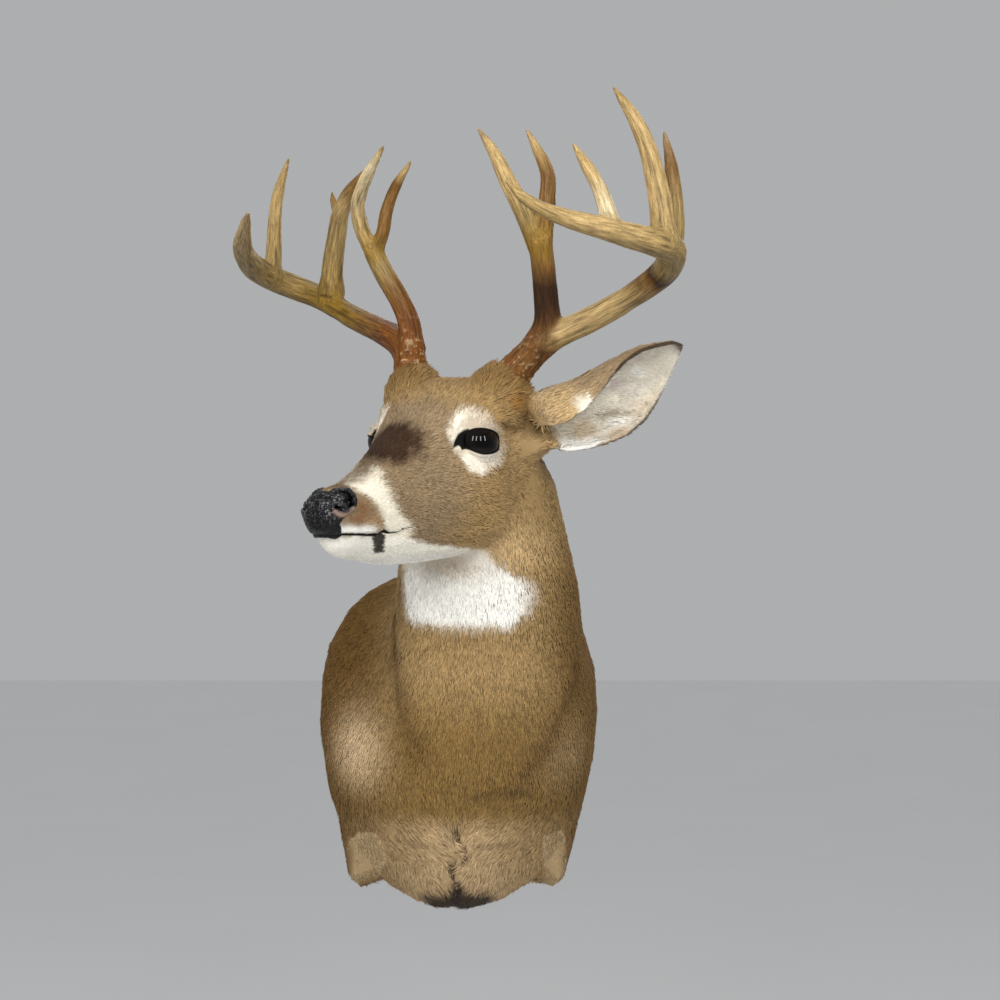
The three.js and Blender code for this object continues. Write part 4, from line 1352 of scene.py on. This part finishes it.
def makeAntler(name):
    settings = antlers[name]
    limbs = [limbLine(settings["beam"], settings["side"], beamThickness, 120)]
    tones = [settings["tones"]]
    for tine in settings["tines"].values():
        limbs.append(limbLine(tine["points"], settings["side"], tineThickness(tine), 50))
        tones.append(tine["tones"])
    bpy.ops.object.select_all(action="DESELECT")
    tubes = [tubeAlong(line, radius) for line, radius in limbs]
    alone(*tubes)
    bpy.ops.object.join()
    piece = bpy.context.object
    piece.name = "antler_" + name
    addModifier(piece, "REMESH", mode="VOXEL", voxel_size=bone["voxel"] * mm)
    views = limbViews(places(piece.data), limbs)
    outs = np.array([view["out"] for view in views])
    stout = np.array([view["thick"] for view in views])[outs.argmin(0), np.arange(outs.shape[1])]
    forks = groupOf(piece, "stout", ramp(stout, 5, 8))
    addModifier(piece, "SMOOTH", factor=0.5, iterations=bone["webbing"], vertex_group=forks)
    addModifier(piece, "SMOOTH", factor=0.5, iterations=4)
    co = places(piece.data)
    n = outward(piece.data)
    views = limbViews(co, limbs)
    # near a fork a point belongs partly to both limbs, so that colours and grain run into each other
    outs = np.array([view["out"] for view in views])
    shares = np.exp(-(outs - outs.min(0)) / 2.2)
    shares /= shares.sum(0)
    own, pick = outs.argmin(0), np.arange(len(co))
    grain, thick, toEnd = [np.array([view[key] for view in views])[own, pick]
                           for key in ("grain", "thick", "toEnd")]
    colour = np.zeros((len(co), 3))
    groove = np.zeros(len(co))
    longBands = np.array([1, 1, 1 / bone["perBand"]])
    for i, (view, tone) in enumerate(zip(views, tones)):
        wander = view["share"] + 0.035 * clouds(co / mm, 24, 40) + 0.02 * clouds(co / mm, 9, 41)
        stops = [(place, linear(horn[hue])) for place, hue in tone]
        hue = [along(wander, *[(place, light[k]) for place, light in stops]) for k in range(3)]
        colour += np.column_stack(hue) * shares[i][:, None]
        drawn = view["grain"] * longBands
        groove += shares[i] * (clouds(drawn, 2.6, 2 + i) + 0.6 * clouds(drawn, 1.4, 6 + i))
    fromBurr = np.linalg.norm(co - limbs[0][0][0], axis=1) / mm
    coarse = ramp(toEnd, 12, 70) * ramp(thick, 4, 9)
    pearly = ramp(bone["pearlReach"] - fromBurr, 0, 60) * ramp(clouds(co / mm, 14, 11), -0.7, 0.3)
    bumps = np.clip(clouds(co / mm, 3.4, 12) - 0.12, 0, 1) * 1.2
    bumps = bumps + np.clip(clouds(co / mm, 2.2, 13) - 0.2, 0, 1)
    at, reach = bone["burrAt"]
    burr = bell(grain[:, 2] - at, reach) * (own == 0)
    knobs = np.clip(clouds(co / mm, 6.5, 14) + 0.25, 0, 1)
    move = bone["groove"] * np.minimum(groove, 0.25) * coarse * (1 - 0.3 * pearly)
    move += bone["pearl"] * bumps * pearly * (1 - burr) + burr * (knobs * bone["burr"] - 1.0)
    setPlaces(piece.data, co + n * (move * mm)[:, None])
    fleck = ramp(bumps, 0.42, 0.7) * pearly
    colour = mixed(colour, linear(horn["fleck"]), fleck * 0.5)
    dark = ramp(-groove, 0.0, 0.9) * (0.3 + 0.7 * coarse)
    light = ramp(groove, 0.2, 0.9) * (0.4 + 0.6 * coarse)
    under = 0.3 * ramp(-n[:, 2], 0.1, 0.9)  # the undersides are darkened as painted shade
    setTint(piece.data, colour * ((1 - 0.5 * dark + 0.24 * light) * (1 - under))[:, None])
    layer = piece.data.attributes.new("grain", "FLOAT_VECTOR", "POINT")
    layer.data.foreach_set("vector", (grain * longBands).astype(np.float32).ravel())
    addModifier(piece, "TRIANGULATE")
    bpy.ops.object.shade_smooth()
    print("stage: antler", name, len(piece.data.polygons), "triangles")
    return piece


coat = {
    "tufts": {"coat_muzzle": 24000, "coat_cheeks": 31000, "coat_ears": 29000},
    "tuftsElsewhere": 27500,
    "quickShare": 0.35,
    # length of the hair: on the body by height, on the face by distance ahead, on the ear by its share
    "bodyLength": [(-180, 12), (-80, 11.5), (40, 10), (160, 9.5), (260, 9.5)],
    "faceLength": [(-120, 12), (-60, 10), (0, 7.5), (60, 6), (120, 4.5), (150, 3)],
    "insideEar": [(0, 9), (0.3, 8), (0.5, 7.5), (0.8, 6.5), (1, 3.5)],
    "behindEar": [(0, 9), (0.3, 6), (1, 4)],
    "legPatch": 4.5,
    "burr": ((58, -44, 58), 24),  # longer hair round the foot of each antler
    "burrLift": ((58, -44, 60), 30),  # and where it stands up
    "bodyLean": 0.16,  # how far the tips stand off, as a share of the length
    "faceLean": 0.17,
    "earLean": 0.2,
    "thickness": 0.16,
    "roundness": 0.45,  # how much each lock is shaded as a round thing rather than as part of the coat
    # a tuft on the map: root, two sides, ridge and tip
    "patch": [(0, 0), (-0.0008, 0.0015), (0.0008, 0.0015), (0, 0.0014), (0, 0.003)],
    "wall": -0.8,  # no hair reaches behind this
}


def earRootGap(h, side):
    # millimetres from the middle of the ear's root
    return gapTo(h, ears[side]["root"])


def layOfCoat(points, normals):
    # the way the hairs point, flat on the skin, in the part's frame
    p = points / mm
    h = toHead(points)
    n = normals @ headTurn
    ahead, z = -h[:, 1], h[:, 2]
    inside = inHead(h)[:, None]
    # the body: down, a little back, closing on the middle of the breast and turning about the whorl
    body = np.tile(np.array([0, 0.28, -1.0]), (len(p), 1))
    closing = ramp(-p[:, 2], 30, 95) * ramp(p[:, 2], -135, -112) * ramp(-p[:, 1], 150, 260)
    crease = np.maximum(foldAt(p, "breastTop"), foldAt(p, "breastLow")) ** 0.12
    closing = closing * (1 - crease)
    body[:, 0] -= closing * 1.3 * np.clip((p[:, 0] - 4) / 40, -1, 1)
    body[:, 2] += closing * 0.35
    parting = ramp(-p[:, 2], 124, 140) * ramp(-p[:, 1], 100, 200) * bell(p[:, 0], 26)
    body[:, 0] -= parting * 0.8 * np.sign(p[:, 0]) * (1 - crease)
    offset, radius = fromWhorl(p)
    whirl = 0.25 * bell(radius, 13) * ramp(-p[:, 1], 150, 260)
    body[:, 0] += whirl * offset[:, 1]
    body[:, 2] -= whirl * offset[:, 0]
    # the face: back from the nose, parting round the eyes, up on the forehead
    face = np.tile(np.array([0, 1.0, -0.12]), (len(p), 1))
    face[:, 2] += 0.35 * ramp(z, 10, 45) * ramp(-ahead, -60, 0)
    face[:, 2] -= 0.5 * ramp(-ahead, 10, 80) * ramp(-z, 20, 70)
    for side in ears:
        away = h - mirrored(eye["centre"], side)
        gap = np.linalg.norm(away, axis=1)
        face += away / np.maximum(gap, 1)[:, None] * (1.5 * bell(gap - 18, 14))[:, None]
        place, reach = coat["burrLift"]
        up = bell(gapTo(h, mirrored(place, side)), reach)[:, None]
        face += up * mirrored((0.25, 0.3, 1.6), side)
    flow = body * (1 - inside) + face @ headTurn.T * inside
    for side in ears:
        towards = 0.6 * earFrame(side)[2] + np.array([0, 0.2, 0.7])
        flow = mixed(flow, towards @ headTurn.T, bell(earRootGap(h, side), 36))
    for side in ears:
        view = earView(h, side)
        axes = earFrame(side)
        turned = np.radians(view["angle"])
        sideways = np.column_stack([np.cos(turned), -np.sin(turned), turned * 0]) @ axes
        outer = outerFace(view, n)
        sweep = 0.8 * ramp(view["angle"], -50, 20) * ramp(view["rim"], 5, 24)
        swept = axes[2] + sideways * sweep[:, None]
        ownWay = mixed(swept, axes[2], outer) @ headTurn.T
        flow = mixed(flow, ownWay, ramp(view["t"], 0.03, 0.2) * view["inside"])
    flow = flow + 0.10 * np.column_stack([clouds(p, 30, k) for k in (51, 52, 53)])
    flow = flow - (flow * normals).sum(1, keepdims=True) * normals
    return unit(flow)


def hairLength(points, normals):
    # millimetres
    p = points / mm
    h = toHead(points)
    n = normals @ headTurn
    ahead, z = -h[:, 1], h[:, 2]
    inside = inHead(h)
    body = along(p[:, 2], *coat["bodyLength"])
    body = body + 3 * bell(p[:, 0] - 4, 25) * ramp(-p[:, 2], 60, 110)
    body = body * (1 - 0.45 * ramp(p[:, 1], -60, -10))
    body = body + (coat["legPatch"] - body) * ramp(inLegPatch(p), -11, 1)
    creased = np.maximum.reduce([foldAt(p, name) for name in ("neck", "breastTop", "breastLow")])
    body = body * (1 - 0.75 * np.sqrt(creased))
    body = body * (1 - 0.5 * bell(fromWhorl(p)[1] - whorl["ring"], 5) * (p[:, 1] < -120))
    face = along(ahead, *coat["faceLength"])
    face = face + 3 * ramp(z, 35, 55) * ramp(-ahead, -30, 20)
    for side in ears:
        view = eyeView(h, side)
        face = face * (1 - 0.55 * bell(lidEdge(view, side), 8)) * (1 - 0.6 * ramp(inCorner(view), -7, -1))
        place, reach = coat["burr"]
        face = face + 5 * bell(gapTo(h, mirrored(place, side)), reach)
    length = body * (1 - inside) + face * inside
    length = length + 2.5 * ramp(-z, 112, 130) * ramp(z, -215, -190) * ramp(ahead, -90, -60)
    for side in ears:
        view = earView(h, side)
        length = length * (1 - 0.35 * bell(earRootGap(h, side), 38))
        inner = along(view["t"], *coat["insideEar"]) * (1 - 0.5 * ramp(9 - view["rim"], 0, 7))
        outer = along(view["t"], *coat["behindEar"]) * (1 - 0.4 * ramp(7 - view["rim"], 0, 6))
        own = inner + (outer - inner) * outerFace(view, n)
        share = ramp(view["t"], 0.03, 0.11) * view["inside"]
        length = length * (1 - share) + share * own
    return length


def barePlaces(points, normals):
    # where no hair grows: the leather, the lids' rims and inside the eyes
    h = toHead(points)
    bare = leatherEdge(h) > 0.3
    for side in ears:
        view = eyeView(h, side)
        bare |= nearEye(view, 40, 2.3) & (lidEdge(view, side) < 2.0)
        bare |= inCorner(view) > -0.5
    ahead = -h[:, 1]
    lips = np.abs(h[:, 2] - mouthLine(ahead)) < along(ahead, *mouth["halfWidth"])
    lips &= (ahead > mouth["corner"]) & (inHead(h) > 0.5)
    y = points[:, 1] / mm
    return bare | lips | (y > -4) | ((y > -20) & (normals[:, 1] > 0.5))


def coatPlaces(points):
    # the piece of the coat that each root belongs to
    h = toHead(points)
    p = points / mm
    inside = inHead(h) > 0.5
    ear = earView(h, "left")["inside"] | earView(h, "right")["inside"]
    height = np.where(p[:, 2] > 105, 0, np.where(p[:, 2] > -35, 1, 2))
    leftHand = np.where(height == 0, p[:, 0] > 22, p[:, 0] > 4)
    names = np.array([["coat_neck_right", "coat_neck_left"], ["coat_chest_right", "coat_chest_left"],
                      ["coat_brisket_right", "coat_brisket_left"]], dtype=object)
    place = names[height, leftHand.astype(int)]
    place[inside & (-h[:, 1] < 30)] = "coat_cheeks"
    place[inside & (-h[:, 1] >= 30)] = "coat_muzzle"
    place[ear] = "coat_ears"
    return place


def growCoat(body):
    mesh = body.data
    mesh.calc_loop_triangles()
    corners = rowsOf(mesh.loop_triangles, "vertices", 3, np.int32)
    loops = rowsOf(mesh.loop_triangles, "loops", 3, np.int32)
    chart = rowsOf(mesh.uv_layers["OFBake"].uv, "vector", 2)[loops]
    co = places(mesh)
    n = outward(mesh)
    tri = co[corners]
    area = np.linalg.norm(np.cross(tri[:, 1] - tri[:, 0], tri[:, 2] - tri[:, 0]), axis=1) / 2
    middle = tri.mean(1)
    place = coatPlaces(middle)
    hidden = rowsOf(mesh.attributes["hidden"].data, "value", 1)[:, 0]
    area = area * ~barePlaces(middle, unit(n[corners].mean(1))) * (hidden[corners].max(1) < 0.5)
    for name in sorted(set(place)):
        weight = area * (place == name)
        count = coat["tufts"].get(name, coat["tuftsElsewhere"])
        chances = np.cumsum(weight)
        face = np.searchsorted(chances, dice.random(count) * chances[-1])
        a, b = dice.random((2, count))
        fold = a + b > 1
        a[fold], b[fold] = 1 - a[fold], 1 - b[fold]
        share = np.column_stack([1 - a - b, a, b])[:, :, None]
        root = (tri[face] * share).sum(1)
        normal = unit((n[corners[face]] * share).sum(1))
        uv = (chart[face] * share).sum(1)
        keep = ~barePlaces(root, normal)
        room = weight.sum() / count
        print("stage:", name, "%.0f cm2," % (weight.sum() * 1e4), "%.2f mm2 a tuft" % (room / mm / mm))
        makeTufts(name, root[keep], normal[keep], uv[keep], room)


def makeTufts(name, root, normal, uv, room):
    # one closed leaf-shaped lock for each root: a root, two sides and a ridge, and a tip
    count = len(root)
    size = dice.normal(1, 0.16, count).clip(0.55, 1.5)
    length = hairLength(root, normal) * size * mm
    flow = layOfCoat(root, normal)
    across = np.cross(normal, flow)
    swing = dice.normal(0, 0.16, count)[:, None]
    ahead, swung = np.cos(swing), np.sin(swing)
    flow, across = flow * ahead + across * swung, across * ahead - flow * swung
    h = toHead(root)
    inside = inHead(h)
    lean = coat["bodyLean"] * (1 - inside) + coat["faceLean"] * inside
    if name == "coat_ears":
        lean = np.full(count, coat["earLean"])
    colour = markingsAndPaintedLight(root, normal)
    pale = ramp(colour.mean(1), 0.3, 0.65)
    lean = lean + 0.2 * bell(np.minimum(earRootGap(h, "left"), earRootGap(h, "right")), 34)
    lean = lean * (1 - 0.65 * pale) * dice.normal(1, 0.25, count).clip(0.3, 1.9)
    wide = np.minimum(math.sqrt(room) * 0.85, length * 0.2) * dice.normal(1, 0.15, count).clip(0.6, 1.4)
    thick = wide * coat["thickness"] * 2
    mid = dice.uniform(0.42, 0.58, count)
    spine = root + flow * (length * mid)[:, None] + normal * (length * lean * 0.75)[:, None]
    sideways = across * (wide / 2)[:, None]
    corners = np.empty((count, 5, 3))
    corners[:, 0] = root - normal * (length * 0.05 + 0.0004)[:, None]
    corners[:, 1] = spine + sideways
    corners[:, 2] = spine - sideways
    corners[:, 3] = spine + normal * thick[:, None]
    corners[:, 4] = root + flow * length[:, None] + normal * (length * lean)[:, None]
    corners[:, :, 1] = np.minimum(corners[:, :, 1], coat["wall"] * mm)
    pattern = np.array([(0, 2, 3), (0, 3, 1), (2, 4, 3), (1, 3, 4), (0, 1, 2), (1, 4, 2)])
    faces = (np.arange(count)[:, None, None] * 5 + pattern).reshape(-1, 3)
    mesh = bpy.data.meshes.new(name)
    mesh.vertices.add(count * 5)
    mesh.vertices.foreach_set("co", corners.astype(np.float32).ravel())
    mesh.loops.add(len(faces) * 3)
    mesh.loops.foreach_set("vertex_index", faces.astype(np.int32).ravel())
    mesh.polygons.add(len(faces))
    mesh.polygons.foreach_set("loop_start", np.arange(len(faces), dtype=np.int32) * 3)
    mesh.polygons.foreach_set("use_smooth", np.ones(len(faces), bool))
    mesh.update(calc_edges=True)
    # every tuft is a small patch of the map at its root
    spread = (uv[:, None] + np.array(coat["patch"])).clip(0, 1).reshape(-1, 2)
    layer = mesh.uv_layers.new(name="OFBake")
    layer.uv.foreach_set("vector", spread[faces.ravel()].astype(np.float32).ravel())
    # the locks are shaded mostly as one coat, each a little rounded
    turned = np.repeat(normal[:, None], 5, axis=1)
    rounded = across * (coat["roundness"] * (1 - 0.5 * pale))[:, None]
    turned[:, 1] += rounded
    turned[:, 2] -= rounded
    turned[:, 4] += flow * 0.2
    mesh.normals_split_custom_set_from_vertices(unit(turned).reshape(-1, 3).tolist())
    level = dice.normal(1, 0.13 - 0.06 * pale, count).clip(0.6, 1.4)
    level = level * (1 - 0.3 * (dice.random(count) < 0.12) * (1 - pale))
    light = np.array([0.80, 0.95, 0.95, 1.0, 1.07])
    light = light + (1 - light) * 0.9 * pale[:, None]
    tint = colour[:, None] * (level[:, None] * light)[:, :, None]
    setTint(mesh, tint.reshape(-1, 3))
    piece = bpy.data.objects.new(name, mesh)
    bpy.context.collection.objects.link(piece)
    dress(piece, "fur", "hide")
    print("stage:", name, len(faces), "triangles")


base = makeSkinBase()
body = makeSkin(base)
setTint(body.data, markingsAndPaintedLight(places(body.data), outward(body.data)))
editAll(body)
bpy.ops.uv.smart_project(angle_limit=1.15, island_margin=0.004, scale_to_bounds=True)
bpy.ops.object.mode_set(mode="OBJECT")
bpy.ops.object.shade_smooth()
body.data.uv_layers[0].name = "OFBake"
dress(body, "skin", "hide", *[name for name in skin["nodes"] if name != "nose_pad"])

dress(makeNose(base), "leather", "nose_leather", "nose_pad")
alone(base)
bpy.ops.object.delete()

for side in ears:
    dress(makeEye(side), "glass", "eye_glass", "eye_" + side)

for side in antlers:
    stoodFor = [name for name in cadNodes if name.startswith("antler_" + side)]
    dress(makeAntler(side), "bone", "antler", *stoodFor)

growCoat(body)

board = cadNodes["back_board"]
board.data.materials.clear()
board.data.materials.append(finishes["plywood"])

# Floor and light, in metres and watts.
studio = {
    "floor": -1.35,
    "floorSize": 30,
    # tall soft strips in front of the eye: degrees to the side of each, and what they share
    "stripTurns": (-38, -15, 11, 38),
    "stripLift": 23,
    "stripDistance": 2.35,
    "stripSize": (0.22, 1.1),
    "stripPower": 17.5,
    # soft lamps: place, size, power
    "lamps": [((0.1, 0.7, 2.4), (1.4, 0.98), 18), ((0.6, 2.4, 1.2), (1.6, 1.12), 14)],
    "aim": (0, -0.2, 0.2),
    "world": (0.84, 0.85, 0.86),
    "worldStrength": 0.5,
}


def addLamp(name, place, target, size, power):
    way = Vector(target) - Vector(place)
    bpy.ops.object.light_add(type="AREA", location=place, rotation=way.to_track_quat("-Z", "Y").to_euler())
    lamp = bpy.context.object
    lamp.name = name
    lamp.data.shape = "RECTANGLE"
    lamp.data.size, lamp.data.size_y = size
    lamp.data.energy = power


def floorFinish(tree, inputs):
    shade = scaled(tree, noiseOf(tree, 1.5, 2), 0.88, 0.92)
    grey = node(tree, "ShaderNodeCombineColor", Red=shade, Green=shade, Blue=shade)
    tree.links.new(grey.outputs[0], inputs["Base Color"])


bpy.ops.object.select_all(action="DESELECT")
bpy.ops.mesh.primitive_plane_add(size=studio["floorSize"], location=(0, 0, studio["floor"]))
floor = bpy.context.object
floor.name = "floor"
floor.data.materials.append(material("pale floor", floorFinish, {"Roughness": 0.9}))

leftEye = fromHead(np.array(eye["centre"]))
lift = math.radians(studio["stripLift"])
for i, degrees in enumerate(studio["stripTurns"]):
    turn = math.radians(degrees)
    way = np.array([math.sin(turn) * math.cos(lift), -math.cos(turn) * math.cos(lift), math.sin(lift)])
    place = leftEye + way * studio["stripDistance"]
    addLamp("strip %d" % i, place, leftEye, studio["stripSize"], studio["stripPower"])
for i, (place, size, power) in enumerate(studio["lamps"]):
    addLamp("lamp %d" % i, place, studio["aim"], size, power)

world = bpy.data.worlds.new("studio")
bpy.context.scene.world = world
world.use_nodes = True
background = world.node_tree.nodes["Background"]
background.inputs["Color"].default_value = (*studio["world"], 1)
background.inputs["Strength"].default_value = studio["worldStrength"]
bpy.context.scene.view_settings.view_transform = "Standard"

print("stage: finished")
